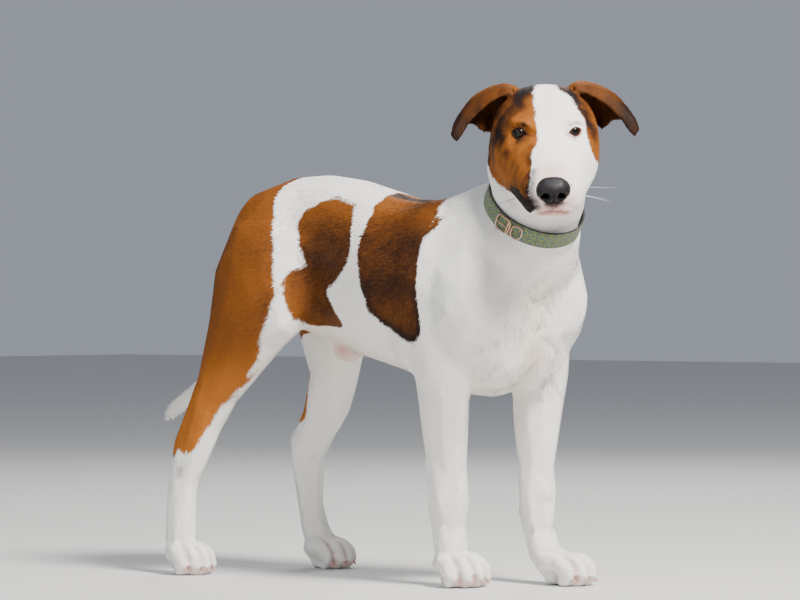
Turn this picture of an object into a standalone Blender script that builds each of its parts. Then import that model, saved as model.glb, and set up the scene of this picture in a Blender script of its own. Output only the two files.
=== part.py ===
"""A young short-coated dog, life size, standing still with its head turned to its right.

Metres, +Z up.  The dog faces +X, its left side is +Y, and its paws rest on Z = 0.  The flesh is
modelled whole, from lofted limbs and muscle forms melted together, and is then parted with thin
cuts into the pieces a person would name.
"""
import math

import bmesh
import bpy
import numpy as np
from mathutils import Matrix, Vector

# ---- driving dimensions, in metres and degrees ---------------------------------------------
GAP = 0.0003             # clearance that parts one solid from the next
VOXEL = 0.003            # grain at which the flesh is melted together
FLESH_TRIANGLES = 3200   # what the melted flesh is thinned down to
SMOOTHING = 150          # rounds of smoothing over the melted joints

SKULL = Vector((0.1845, -0.0155, 0.600))   # between the ears, inside the head
HEAD_TURN = -48.2        # heading of the muzzle, to the dog's right
HEAD_DROP = 25.0         # the muzzle points down by this
HEAD_ROLL = 2.0          # the left eye is a little higher

EYE_RADIUS = 0.0112
EYE_PLACE = Vector((0.0490, 0.0336, 0.0125))   # in the head's own frame; mirrored for the right
EYE_OUTWARD, EYE_UPWARD = 16.0, 20.0
NOSE_PLACE = Vector((0.1575, 0.0005, -0.0220))
NOSE_SIZE = Vector((0.0175, 0.0225, 0.0180))
EAR_THICKNESS = 0.0040

COLLAR_CENTRE = Vector((0.1583, -0.0030, 0.4955))
COLLAR_LEAN = Vector((0.598, -0.267, 0.755))   # the way its axis points
COLLAR_RADIUS = 0.0630
COLLAR_STRETCH = 1.04     # it is longer from nape to throat
COLLAR_WIDTH = 0.0245
COLLAR_THICKNESS = 0.0030
COLLAR_BED = 0.0100      # the hair is pressed clear of the band's face up to here
CLEARANCE = 0.0010       # the fittings stand this far off the band
BUCKLE_ANGLE, BUCKLE_SIZE, BUCKLE_WIRE = 118.0, (18.0, 0.0205), 0.0014   # degrees round, degrees and metres
RING_ANGLE, RING_WIDE, RING_WIRE = 136.0, 12.0, 0.0011
DEWCLAWS = {"right": (0.060, -0.040, 0.075), "left": (0.123, 0.040, 0.078)}

# where each paw stands, its heading, and its length
PAWS = {
    "right_fore": ((0.073, -0.058), -18.0, 0.080),
    "left_fore": ((0.160, 0.054), 2.0, 0.084),
    "right_hind": ((-0.356, -0.117), -14.0, 0.070),
    "left_hind": ((-0.288, 0.096), -4.0, 0.072),
}
PAW_TOP = 0.052          # the paws part from the legs at this height

# where the head and the neck are parted off: a point of each plane, and the way it faces
HEAD_CUT, HEAD_CUT_FACES = Vector((0.160, 0.012, 0.568)), Vector((0.402, -0.448, 0.800))
NECK_CUT, NECK_CUT_FACES = Vector((0.050, 0.0, 0.530)), Vector((0.734, 0.0, 0.679))

COLOURS = {
    "coat": (0.80, 0.78, 0.74), "rust": (0.42, 0.17, 0.05), "pink": (0.66, 0.42, 0.36),
    "nose": (0.03, 0.025, 0.03), "eye": (0.04, 0.02, 0.01), "horn": (0.70, 0.52, 0.44),
    "webbing": (0.20, 0.30, 0.20), "bronze": (0.45, 0.30, 0.20),
}


# ---- small tools ---------------------------------------------------------------------------
def material(name, roughness=0.8, metallic=0.0):
    found = bpy.data.materials.get(name)
    if found:
        return found
    made = bpy.data.materials.new(name)
    made.use_nodes = True
    shader = made.node_tree.nodes["Principled BSDF"]
    shader.inputs["Base Color"].default_value = (*COLOURS[name], 1.0)
    shader.inputs["Roughness"].default_value = roughness
    shader.inputs["Metallic"].default_value = metallic
    return made


def add_object(name, verts, faces, slot="coat", **finish):
    mesh = bpy.data.meshes.new(name)
    mesh.from_pydata([tuple(v) for v in verts], [], faces)
    mesh.validate()
    fixed = bmesh.new()
    fixed.from_mesh(mesh)
    bmesh.ops.recalc_face_normals(fixed, faces=fixed.faces)
    fixed.to_mesh(mesh)
    fixed.free()
    mesh.shade_smooth()
    mesh.materials.append(material(slot, **finish))
    made = bpy.data.objects.new(name, mesh)
    bpy.context.collection.objects.link(made)
    return made


def filled_in(rows, steps):
    """Rows of numbers with a Catmull-Rom curve drawn through them."""
    rows = np.array(rows, float)
    ends = np.vstack([2 * rows[0] - rows[1], rows, 2 * rows[-1] - rows[-2]])
    out = []
    for a, b, c, d in zip(ends, ends[1:], ends[2:], ends[3:]):
        for t in np.arange(steps) / steps:
            out.append(0.5 * (2 * b + (c - a) * t + (2 * a - 5 * b + 4 * c - d) * t ** 2
                              + (3 * b - a - 3 * c + d) * t ** 3))
    out.append(rows[-1])
    return np.array(out)


def skin_of_rings(rings):
    """Verts and faces of a closed body from equal rings, capped at both ends."""
    count = len(rings[0])
    verts = [p for ring in rings for p in ring]
    faces = [(i * count + j, i * count + (j + 1) % count,
              (i + 1) * count + (j + 1) % count, (i + 1) * count + j)
             for i in range(len(rings) - 1) for j in range(count)]
    faces.append(tuple(range(count))[::-1])
    faces.append(tuple(range((len(rings) - 1) * count, len(rings) * count)))
    return verts, faces


def limb(rows, side=(0, 1, 0), steps=4, sides=20):
    """Rings along a bent line.  A row is x, y, z, half width to the side, half width fore and aft."""
    rows = filled_in(rows, steps)
    along = np.gradient(rows[:, :3], axis=0)
    turn = np.linspace(0, 2 * math.pi, sides, endpoint=False)
    rings = []
    for row, way in zip(rows, along):
        way = way / np.linalg.norm(way)
        across = np.array(side, float) - way * np.dot(side, way)
        across /= np.linalg.norm(across)
        front = np.cross(across, way)
        rings.append([row[:3] + across * row[3] * math.cos(t) + front * row[4] * math.sin(t)
                      for t in turn])
    return skin_of_rings(rings)


def sections(rows, place=Matrix(), steps=4, sides=28):
    """Rings across a straight line.  A row is: how far along, top, bottom, half width, height of
    the widest place (0 bottom, 1 top), and squareness above and below it (2 is an ellipse)."""
    turn = np.linspace(0, 2 * math.pi, sides, endpoint=False)
    rings = []
    for far, top, bottom, wide, level, above, below in filled_in(rows, steps):
        middle = bottom + (top - bottom) * level
        ring = []
        for t in turn:
            c, s = math.cos(t), math.sin(t)
            power = above if s > 0 else below
            y = wide * math.copysign(abs(c) ** (2 / power), c)
            z = math.copysign(abs(s) ** (2 / power), s)
            z = middle + z * ((top - middle) if s > 0 else (middle - bottom))
            ring.append(place @ Vector((far, y, z)))
        rings.append(ring)
    return skin_of_rings(rings)


def ball(centre, radii, place=Matrix(), detail=3):
    """An ellipsoid, its radii along the axes of place."""
    shape = bmesh.new()
    bmesh.ops.create_icosphere(shape, subdivisions=detail, radius=1.0)
    verts = [place @ (Vector(centre) + Vector(v.co[i] * radii[i] for i in range(3)))
             for v in shape.verts]
    faces = [tuple(v.index for v in f.verts) for f in shape.faces]
    shape.free()
    return verts, faces


def settled(made):
    """The object's mesh as its modifiers leave it, with the modifiers gone."""
    seen = made.evaluated_get(bpy.context.evaluated_depsgraph_get())
    mesh = bpy.data.meshes.new_from_object(seen)
    made.modifiers.clear()
    made.data = mesh
    return made


def in_triangles(made):
    """Flat faces only, so that a copy grown from it folds along the same lines."""
    shape = bmesh.new()
    shape.from_mesh(made.data)
    bmesh.ops.triangulate(shape, faces=shape.faces)
    shape.to_mesh(made.data)
    shape.free()
    return made


def cut(made, cutter, operation="DIFFERENCE"):
    """A Boolean that is applied at once."""
    knife = made.modifiers.new("cut", "BOOLEAN")
    knife.object = cutter
    knife.operation = operation
    knife.solver = "EXACT"
    return in_triangles(settled(made))


def remove(made):
    bpy.data.objects.remove(made)


def tool(verts, faces, name="tool"):
    """A shape that only cuts."""
    made = add_object(name, verts, faces)
    made.hide_render = True
    made.display_type = "WIRE"
    return in_triangles(made)


def turned(angle, axis):
    return Matrix.Rotation(math.radians(angle), 4, axis)


HEAD = (Matrix.Translation(SKULL) @ turned(HEAD_TURN, "Z") @ turned(HEAD_DROP, "Y")
        @ turned(HEAD_ROLL, "X"))

for old in list(bpy.data.objects):
    bpy.data.objects.remove(old)


# ---- the flesh -----------------------------------------------------------------------------
def muscle(centre, radii, lean=0.0, slope=0.0):
    """A muscle's ellipsoid, leaning inwards at the top and sloping forwards at the foot."""
    return ball((0, 0, 0), radii, Matrix.Translation(centre) @ turned(lean, "X") @ turned(slope, "Y"))


def trunk_shapes():
    """Ribcage, loin and rump, then the muscle forms over them."""
    rows = [  # along X, top, bottom, half width, level of the widest place, squareness
        (-0.332, 0.472, 0.405, 0.038, 0.5, 2.0, 2.0),
        (-0.316, 0.502, 0.375, 0.058, 0.5, 2.0, 2.0),
        (-0.280, 0.537, 0.345, 0.075, 0.55, 2.1, 2.1),
        (-0.235, 0.548, 0.328, 0.080, 0.6, 2.2, 2.2),
        (-0.190, 0.548, 0.317, 0.077, 0.6, 2.2, 2.2),
        (-0.145, 0.542, 0.303, 0.083, 0.55, 2.2, 2.2),
        (-0.100, 0.530, 0.290, 0.094, 0.5, 2.2, 2.2),
        (-0.055, 0.517, 0.280, 0.102, 0.5, 2.2, 2.2),
        (-0.010, 0.510, 0.267, 0.105, 0.5, 2.2, 2.2),
        (0.030, 0.515, 0.255, 0.103, 0.45, 2.1, 2.1),
        (0.075, 0.530, 0.246, 0.098, 0.40, 2.1, 2.1),
        (0.115, 0.500, 0.254, 0.094, 0.42, 2.2, 2.1),
        (0.146, 0.450, 0.280, 0.080, 0.42, 2.2, 2.1),
        (0.165, 0.400, 0.314, 0.050, 0.45, 2.1, 2.0),
    ]
    yield sections(rows)
    for s in (-1, 1):
        ahead = 0.012 * s                                               # the left limb leads
        yield muscle((0.050 + ahead, s * 0.064, 0.412), (0.066, 0.044, 0.105), s * 14, -14)
        yield muscle((0.118 + ahead, s * 0.074, 0.378), (0.050, 0.048, 0.075), s * 8)
        yield muscle((0.050 + ahead, s * 0.078, 0.335), (0.056, 0.036, 0.066))
        yield muscle((0.122, s * 0.034, 0.315), (0.042, 0.042, 0.062))
        yield muscle((-0.258, s * 0.052, 0.478), (0.064, 0.040, 0.058), s * 20)
        yield muscle((-0.230, s * 0.066, 0.400), (0.064, 0.038, 0.085))
    yield muscle((0.130, 0.064, 0.428), (0.044, 0.044, 0.060), 8)       # left shoulder, swung forward
    yield ball((0.144, 0.0, 0.350), (0.024, 0.024, 0.040))               # end of the breastbone


def neck_shapes():
    rows = [(0.070, 0.002, 0.418, 0.096, 0.104), (0.113, 0.010, 0.453, 0.096, 0.090),
            (0.149, 0.004, 0.503, 0.0725, 0.0715), (0.163, -0.001, 0.550, 0.066, 0.070),
            (0.169, -0.005, 0.588, 0.063, 0.066), (0.174, -0.008, 0.615, 0.054, 0.056)]
    yield limb(rows, steps=5, sides=28)


def head_shapes():
    """Rows and balls in the head's own frame: ahead, to the left, up."""
    rows = [
        (-0.077, 0.008, -0.020, 0.022, 0.5, 2.0, 2.0),
        (-0.064, 0.028, -0.038, 0.044, 0.5, 2.0, 2.0),
        (-0.035, 0.046, -0.052, 0.061, 0.5, 2.1, 2.2),
        (0.000, 0.0535, -0.058, 0.0690, 0.45, 2.2, 2.5),
        (0.030, 0.0460, -0.061, 0.0698, 0.38, 2.1, 3.0),
        (0.055, 0.0310, -0.062, 0.0655, 0.34, 2.1, 3.2),
        (0.078, 0.0205, -0.062, 0.0580, 0.32, 2.1, 3.2),
        (0.105, 0.0130, -0.061, 0.0485, 0.33, 2.2, 3.2),
        (0.130, 0.0065, -0.060, 0.0430, 0.36, 2.3, 3.0),
        (0.150, -0.0005, -0.0585, 0.0395, 0.40, 2.4, 2.8),
        (0.163, -0.0100, -0.0560, 0.0330, 0.42, 2.3, 2.5),
        (0.170, -0.0220, -0.0495, 0.0210, 0.45, 2.1, 2.2),
    ]
    yield sections(rows, HEAD, steps=4, sides=32)
    for s in (-1, 1):
        yield ball((0.040, s * 0.031, 0.0225), (0.024, 0.019, 0.0115), HEAD)     # brow
        yield ball((0.020, s * 0.0445, -0.020), (0.042, 0.026, 0.032), HEAD)     # cheek
        yield ball((0.134, s * 0.021, -0.035), (0.034, 0.0205, 0.020), HEAD)     # lip and whiskers


def foreleg_rows(left):
    """From the elbow down: x, y, z, half width to the side, half width fore and aft."""
    if left:
        return [(0.094, 0.078, 0.345, 0.036, 0.052), (0.105, 0.077, 0.295, 0.035, 0.046),
                (0.106, 0.073, 0.250, 0.032, 0.040), (0.108, 0.066, 0.203, 0.0270, 0.0335),
                (0.112, 0.061, 0.155, 0.0235, 0.0270), (0.1150, 0.058, 0.118, 0.0250, 0.0255),
                (0.1160, 0.056, 0.098, 0.0225, 0.0245), (0.121, 0.055, 0.068, 0.0215, 0.0220),
                (0.134, 0.054, 0.040, 0.0240, 0.0215), (0.148, 0.054, 0.022, 0.0240, 0.0170)]
    return [(0.054, -0.080, 0.345, 0.036, 0.050), (0.063, -0.078, 0.295, 0.035, 0.043),
            (0.062, -0.072, 0.250, 0.032, 0.0385), (0.057, -0.064, 0.203, 0.0275, 0.0335),
            (0.056, -0.059, 0.155, 0.0245, 0.0300), (0.057, -0.057, 0.118, 0.0270, 0.0300),
            (0.0565, -0.056, 0.098, 0.0245, 0.0275), (0.058, -0.055, 0.068, 0.0235, 0.0240),
            (0.064, -0.056, 0.040, 0.0245, 0.0220), (0.072, -0.058, 0.022, 0.0240, 0.0180)]


def hindleg_rows(left):
    if left:
        return [(-0.252, 0.062, 0.460, 0.045, 0.068), (-0.260, 0.075, 0.405, 0.048, 0.073),
                (-0.264, 0.083, 0.350, 0.044, 0.066), (-0.265, 0.087, 0.310, 0.038, 0.051),
                (-0.269, 0.090, 0.270, 0.032, 0.041), (-0.281, 0.092, 0.235, 0.0280, 0.0365),
                (-0.300, 0.094, 0.200, 0.0240, 0.0325), (-0.320, 0.095, 0.168, 0.0220, 0.0300),
                (-0.323, 0.096, 0.130, 0.0195, 0.0240), (-0.319, 0.096, 0.093, 0.0185, 0.0200),
                (-0.313, 0.097, 0.060, 0.0190, 0.0200), (-0.300, 0.097, 0.035, 0.0215, 0.0200),
                (-0.290, 0.097, 0.020, 0.0220, 0.0160)]
    return [(-0.246, -0.060, 0.470, 0.046, 0.070), (-0.252, -0.074, 0.415, 0.050, 0.079),
            (-0.263, -0.084, 0.360, 0.047, 0.075), (-0.287, -0.091, 0.308, 0.038, 0.056),
            (-0.317, -0.096, 0.255, 0.030, 0.0365), (-0.339, -0.101, 0.212, 0.0255, 0.0320),
            (-0.355, -0.106, 0.170, 0.0225, 0.0310), (-0.366, -0.110, 0.135, 0.0200, 0.0255),
            (-0.3685, -0.114, 0.098, 0.0190, 0.0230), (-0.368, -0.116, 0.060, 0.0195, 0.0220),
            (-0.364, -0.117, 0.035, 0.0215, 0.0215), (-0.358, -0.117, 0.020, 0.0220, 0.0170)]


def leg_shapes():
    for left in (False, True):
        yield limb(foreleg_rows(left))
        yield limb(hindleg_rows(left))
    yield ball((-0.375, -0.109, 0.174), (0.012, 0.011, 0.024))                 # right heel bone
    yield ball((-0.343, 0.095, 0.178), (0.012, 0.011, 0.022))                  # left heel bone
    yield ball((0.070, -0.060, 0.120), (0.018, 0.018, 0.018))                  # right wrist
    yield ball((0.128, 0.057, 0.124), (0.016, 0.018, 0.018))                   # left wrist
    yield ball((0.097, 0.053, 0.096), (0.010, 0.010, 0.011))                   # carpal pads
    yield ball((0.036, -0.053, 0.092), (0.010, 0.010, 0.011))
    yield ball((-0.212, -0.084, 0.350), (0.030, 0.030, 0.036))                 # right stifle
    yield ball((-0.214, 0.080, 0.336), (0.026, 0.028, 0.036))                  # left stifle
    yield ball((-0.160, 0.0, 0.325), (0.030, 0.014, 0.034))                    # sheath


def tail_shapes():
    rows = [(-0.296, 0.0, 0.500, 0.021, 0.021), (-0.332, 0.0, 0.462, 0.019, 0.019),
            (-0.358, 0.0, 0.410, 0.0170, 0.0170), (-0.380, 0.004, 0.350, 0.0155, 0.0155),
            (-0.408, 0.006, 0.293, 0.0148, 0.0148), (-0.446, 0.004, 0.250, 0.0145, 0.0145),
            (-0.484, 0.0, 0.226, 0.0125, 0.0125), (-0.503, 0.0, 0.213, 0.0075, 0.0075),
            (-0.510, 0.0, 0.209, 0.0025, 0.0025)]
    yield limb(rows, sides=16)


TOES = ((0.0088, 1.0), (-0.0088, 1.0), (0.0255, 0.76), (-0.0255, 0.76))   # to the side, reach


def paw_frame(name):
    (x, y), heading, _ = PAWS[name]
    return Matrix.Translation((x, y, 0.0)) @ turned(heading, "Z")


def toe_rows(side, tip):
    """One toe in its paw's frame: it rises to its knuckle and curls down to the floor."""
    return [(-0.018, side * 0.65, 0.029, 0.0105, 0.0140), (tip - 0.026, side * 0.88, 0.0310, 0.0112, 0.0130),
            (tip - 0.011, side, 0.0245, 0.0110, 0.0128), (tip - 0.003, side * 1.02, 0.0145, 0.0098, 0.0110),
            (tip + 0.000, side * 1.02, 0.0065, 0.0065, 0.0065)]


def toes_of(name):
    """Each toe's place to the side and how far its tip reaches ahead of the paw's centre."""
    narrow = 1.0 if "fore" in name else 0.88
    for side, reach in TOES:
        yield side * narrow, 0.50 * PAWS[name][2] * reach


def paw_shapes(name):
    place = paw_frame(name)
    narrow = 1.0 if "fore" in name else 0.88
    yield ball((-0.012, 0.0, 0.028), (0.027, 0.027 * narrow, 0.020), place)
    for side, tip in toes_of(name):
        verts, faces = limb(toe_rows(side, tip), steps=4, sides=14)
        yield [place @ Vector(v) for v in verts], faces
        yield ball((tip - 0.012, side, 0.0060), (0.0120, 0.0085, 0.0085), place)
    yield ball((-0.008, 0.0, 0.0075), (0.017, 0.021 * narrow, 0.0100), place)


def joined(name, shapes):
    verts, faces = [], []
    for more_verts, more_faces in shapes:
        base = len(verts)
        verts += [tuple(v) for v in more_verts]
        faces += [tuple(base + i for i in face) for face in more_faces]
    return add_object(name, verts, faces)


def all_flesh():
    yield from trunk_shapes()
    yield from neck_shapes()
    yield from head_shapes()
    yield from leg_shapes()
    yield from tail_shapes()
    for name in PAWS:
        yield from paw_shapes(name)


def share(value, low, high):
    """0 at low, 1 at high, straight between."""
    return min(1.0, max(0.0, (value - low) / (high - low)))


def on_face(point):
    """1 on the head, fading to 0 down the neck."""
    inside = HEAD.inverted() @ Vector(point)
    near = 1 - share(inside.length, 0.17, 0.20)
    return near * share(inside.z + 0.35 * inside.x, -0.085, -0.060)


def softness(point):
    """How far the melted joints are smoothed: much on the trunk, little on face, shins and paws."""
    body = 0.05 + 0.95 * share(point[2], 0.16, 0.34)
    return body + (0.10 - body) * on_face(point)


def fineness(point):
    """Where the thinned flesh keeps more of its faces."""
    return max(0.20 * on_face(point), 0.12 * (1 - share(point[2], 0.04, 0.07)))


def weights(made, name, rule):
    group = made.vertex_groups.new(name=name)
    for v in made.data.vertices:
        group.add([v.index], rule(v.co), "REPLACE")


def melted_flesh():
    flesh = joined("flesh", all_flesh())
    melt = flesh.modifiers.new("melt", "REMESH")
    melt.mode = "VOXEL"
    melt.voxel_size = VOXEL
    settled(flesh)
    weights(flesh, "soft", softness)
    ease = flesh.modifiers.new("ease", "SMOOTH")
    ease.factor = 0.5
    ease.iterations = SMOOTHING
    ease.vertex_group = "soft"
    settled(flesh)
    flesh.vertex_groups.clear()
    weights(flesh, "fine", fineness)
    thin = flesh.modifiers.new("thin", "DECIMATE")
    thin.ratio = FLESH_TRIANGLES / (2 * len(flesh.data.polygons))
    thin.vertex_group = "fine"
    thin.invert_vertex_group = True
    thin.vertex_group_factor = 1.0
    settled(flesh)
    flesh.vertex_groups.clear()
    return flesh


# ---- parting the flesh ---------------------------------------------------------------------
def copy_of(made, name):
    twin = made.copy()
    twin.data = made.data.copy()
    twin.name = name
    bpy.context.collection.objects.link(twin)
    return twin


def grown(made, by):
    """A copy pushed out along its normals."""
    twin = copy_of(made, "grown")
    push = [v.co + v.normal * by for v in twin.data.vertices]
    for v, place in zip(twin.data.vertices, push):
        v.co = place
    return twin


def block(low, high, place=Matrix(), name="tool"):
    corners = [place @ Vector((x, y, z)) for x in (low[0], high[0])
               for y in (low[1], high[1]) for z in (low[2], high[2])]
    faces = [(0, 1, 3, 2), (4, 6, 7, 5), (0, 4, 5, 1), (2, 3, 7, 6), (0, 2, 6, 4), (1, 5, 7, 3)]
    return tool(corners, faces, name)


def part_off(made, name, knife):
    """What lies inside the knife becomes a piece of its own, a thin gap away from the rest."""
    piece = copy_of(made, name)
    cut(piece, knife, "INTERSECT")
    wider = grown(knife, GAP)
    cut(made, wider)
    remove(wider)
    remove(knife)
    return piece


def half_space(point, normal, reach=0.6):
    """A block whose one face lies in the plane through point, on the side normal points to."""
    place = Vector(normal).to_track_quat("Z", "Y").to_matrix().to_4x4()
    place.translation = point
    return block((-reach, -reach, 0.0), (reach, reach, reach), place)


def socket(made, *fillings):
    """Room in the flesh for what sits in it, a thin gap larger."""
    for filling in fillings:
        wider = grown(filling, GAP)
        cut(made, wider)
        remove(wider)


def limb_knife(left, hind):
    """A tall soft-cornered form that holds one leg, domed over its shoulder or hip."""
    s = 1 if left else -1
    if hind:
        rows = [(-0.05, -0.300, 0.190, 0.030), (0.26, -0.300, 0.190, 0.033), (0.31, -0.285, 0.150, 0.042),
                (0.36, -0.270, 0.120, 0.052), (0.41, -0.262, 0.095, 0.062), (0.45, -0.258, 0.065, 0.078),
                (0.475, -0.257, 0.030, 0.100)]
    else:
        x = 0.112 if left else 0.062
        rows = [(-0.05, x + 0.02, 0.150, 0.004), (0.15, x + 0.01, 0.140, 0.008), (0.21, x, 0.120, 0.020), (0.26, x - 0.005, 0.098, 0.038),
                (0.31, x - 0.010, 0.082, 0.054), (0.35, x - 0.012, 0.068, 0.070),
                (0.385, x - 0.012, 0.048, 0.088), (0.405, x - 0.012, 0.022, 0.106)]
    outer = 0.30
    upright = Matrix(((0, 0, 1, 0), (0, 1, 0, s * outer), (1, 0, 0, 0), (0, 0, 0, 1)))
    laid = [(z, x + wide, x - wide, outer - inner, 0.5, 3.0, 3.0) for z, x, wide, inner in rows]
    return tool(*sections(laid, upright, steps=1, sides=16))


def parted(flesh):
    """The flesh as its named pieces."""
    pieces = {}
    pieces["head"] = part_off(flesh, "head", half_space(HEAD_CUT, HEAD_CUT_FACES))
    pieces["neck"] = part_off(flesh, "neck", half_space(NECK_CUT, NECK_CUT_FACES))
    pieces["tail"] = part_off(flesh, "tail", block((-0.027, -0.045, 0.0), (0.027, 0.15, 0.5), tail_place()))
    for name in PAWS:
        side, end = name.split("_")
        leg, paw = name + "_leg", name + "_paw"
        pieces[leg] = part_off(flesh, leg, limb_knife(side == "left", end == "hind"))
        pieces[paw] = part_off(pieces[leg], paw, block((-1, -1, -0.2), (1, 1, PAW_TOP)))
    flesh.name = "trunk"
    pieces["trunk"] = flesh
    return pieces


def tail_place():
    """The tail's root: its +Z runs down the tail and its +Y backwards."""
    place = Vector((-0.50, 0.0, -0.86)).to_track_quat("Z", "Y").to_matrix().to_4x4()
    place.translation = Vector((-0.348, 0.0, 0.434))
    return place


def stand_flat(paw):
    """The pads are cut flat at the floor."""
    floor = block((-1, -1, -0.1), (1, 1, 0.0))
    cut(paw, floor)
    remove(floor)


# ---- eyes, nose, claws, ears, collar ---------------------------------------------------------
def eye_place(s):
    """The eyeball's centre, its +X looking out between the lids."""
    centre = Vector((EYE_PLACE.x, s * EYE_PLACE.y, EYE_PLACE.z))
    return HEAD @ Matrix.Translation(centre) @ turned(s * EYE_OUTWARD, "Z") @ turned(-EYE_UPWARD, "Y")


def eyes():
    for side, s in (("left", 1), ("right", -1)):
        place = eye_place(s) @ turned(90, "Y")
        shape = bmesh.new()
        bmesh.ops.create_uvsphere(shape, u_segments=14, v_segments=8, radius=EYE_RADIUS, matrix=place)
        verts = [v.co.copy() for v in shape.verts]
        faces = [tuple(v.index for v in f.verts) for f in shape.faces]
        shape.free()
        yield add_object(side + "_eye", verts, faces, "eye", roughness=0.1)


def lid_opening(s):
    """An almond between the lids, in front of the eyeball."""
    place = eye_place(s) @ Matrix.Translation((0.0115, 0.0, 0.0))
    return tool(*ball((0, 0, 0), (0.0090, 0.0105, 0.0070), place, detail=2))


def nose():
    return add_object("nose", *ball(NOSE_PLACE, NOSE_SIZE, HEAD, detail=2), "nose", roughness=0.35)


def open_nostrils(made):
    for s in (-1, 1):
        centre = NOSE_PLACE + Vector((0.0150, s * 0.0085, -0.0025))
        nostril = tool(*ball(centre, (0.0070, 0.0032, 0.0040), HEAD, detail=1))
        cut(made, nostril)
        remove(nostril)


def claws_of(name):
    place = paw_frame(name)
    for number, (side, tip) in enumerate(toes_of(name), 1):
        rows = [(tip - 0.008, side * 1.02, 0.0158, 0.0023, 0.0032),
                (tip + 0.003, side * 1.03, 0.0105, 0.0019, 0.0028),
                (tip + 0.0070, side * 1.03, 0.0048, 0.0007, 0.0009)]
        verts, faces = limb(rows, steps=1, sides=6)
        yield add_object(f"{name}_claw_{number}", [place @ Vector(v) for v in verts], faces, "horn",
                         roughness=0.4)


def dewclaw(side, x, y, z):
    s = 1 if side == "left" else -1
    rows = [(x, y, z + 0.006, 0.0022, 0.0030), (x + 0.003, y - s * 0.0050, z - 0.003, 0.0018, 0.0024),
            (x + 0.0075, y - s * 0.0070, z - 0.0095, 0.0006, 0.0007)]
    return add_object(side + "_dewclaw", *limb(rows, side=(1, 0, 0), steps=1, sides=6), "horn", roughness=0.4)


def ear(side):
    """A leaf of skin that rises behind the skull's corner and folds forward over its own ridge.
    Each station gives its back edge, its ridge and its front edge, in the head's frame."""
    s = 1 if side == "left" else -1
    back = [(-0.046, 0.034, 0.026), (-0.048, 0.052, 0.012), (-0.040, 0.066, -0.006), (-0.018, 0.076, -0.014),
            (-0.012, 0.088, 0.000), (-0.006, 0.101, 0.004), (0.005, 0.111, -0.003), (0.015, 0.1165, -0.009)]
    ridge = [(-0.024, 0.034, 0.046), (-0.034, 0.047, 0.0485), (-0.038, 0.063, 0.0445), (-0.034, 0.080, 0.0385),
             (-0.026, 0.094, 0.0320), (-0.014, 0.107, 0.0200), (-0.001, 0.1175, 0.0085), (0.012, 0.1215, -0.0030)]
    front = [(-0.006, 0.042, 0.046), (-0.005, 0.052, 0.0435), (-0.004, 0.064, 0.038), (-0.002, 0.077, 0.0300),
             (0.003, 0.089, 0.0200), (0.009, 0.1000, 0.0085), (0.017, 0.1080, -0.002), (0.020, 0.1155, -0.0100)]
    rows = []
    for b, r, f in zip(filled_in(back, 2), filled_in(ridge, 2), filled_in(front, 2)):
        cup = (b + r) / 2 + np.array((-0.007, 0.0, 0.0)) * min(1.0, np.linalg.norm(r - b) / 0.03)
        lap = (r + f) / 2 + np.array((0.002, 0.002, 0.003)) * min(1.0, np.linalg.norm(f - r) / 0.02)
        rows.append([b, cup, r, lap, f])
    across = len(rows[0])
    verts = [HEAD @ Vector((p[0], s * p[1], p[2])) for row in rows for p in row]
    faces = [(i * across + j, i * across + j + 1, (i + 1) * across + j + 1, (i + 1) * across + j)
             for i in range(len(rows) - 1) for j in range(across - 1)]
    made = add_object(side + "_ear", verts, faces, "rust")
    leaf = made.modifiers.new("leaf", "SOLIDIFY")
    leaf.thickness = EAR_THICKNESS
    leaf.offset = 0.0
    settled(made)
    return made


def hoop(name, points, radius, slot, sides=6, **finish):
    """A closed ring of wire through points."""
    points = [Vector(p) for p in points]
    rings = []
    for i, p in enumerate(points):
        way = (points[(i + 1) % len(points)] - points[i - 1]).normalized()
        out = way.cross(Vector((0.3, 0.5, 0.8))).normalized()
        up = way.cross(out)
        rings.append([p + out * radius * math.cos(t) + up * radius * math.sin(t)
                      for t in np.linspace(0, 2 * math.pi, sides, endpoint=False)])
    verts = [p for ring in rings for p in ring]
    count = len(rings)
    faces = [(i * sides + j, i * sides + (j + 1) % sides, ((i + 1) % count) * sides + (j + 1) % sides,
              ((i + 1) % count) * sides + j) for i in range(count) for j in range(sides)]
    return add_object(name, verts, faces, slot, **finish)


COLLAR = COLLAR_LEAN.to_track_quat("Z", "X").to_matrix().to_4x4()
COLLAR.translation = COLLAR_CENTRE


def band(name, thickness):
    """A flat band round the neck."""
    segments = 36
    verts, faces = [], []
    half, inner = COLLAR_WIDTH / 2, COLLAR_RADIUS
    outer = inner + thickness
    profile = [(inner, -half), (outer, -half), (outer, half), (inner, half)]
    for i in range(segments):
        t = 2 * math.pi * i / segments
        verts += [COLLAR @ Vector((r * math.cos(t) * COLLAR_STRETCH, r * math.sin(t), h)) for r, h in profile]
    for i in range(segments):
        a, b = 4 * i, 4 * ((i + 1) % segments)
        faces += [(a + j, a + (j + 1) % 4, b + (j + 1) % 4, b + j) for j in range(4)]
    return add_object(name, verts, faces, "webbing")


def on_collar(angle, height, lift):
    """A point beside the band: its angle round the band, its height across it, and its lift off it."""
    far = COLLAR_RADIUS + COLLAR_THICKNESS + lift
    turn = math.radians(angle)
    return COLLAR @ Vector((far * math.cos(turn) * COLLAR_STRETCH, far * math.sin(turn), height))


def buckle():
    """A rounded oblong frame lying over the band."""
    lift = BUCKLE_WIRE + CLEARANCE
    wide, tall = BUCKLE_SIZE
    points = []
    for x, y in ((-1, -0.7), (-1, 0.0), (-1, 0.7), (-0.7, 1), (0.7, 1), (1, 0.7), (1, 0.0), (1, -0.7),
                 (0.7, -1), (-0.7, -1)):
        points.append(on_collar(BUCKLE_ANGLE + x * wide / 2, y * tall / 2, lift))
    return hoop("collar_buckle", points, BUCKLE_WIRE, "bronze", roughness=0.3, metallic=1.0)


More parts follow.
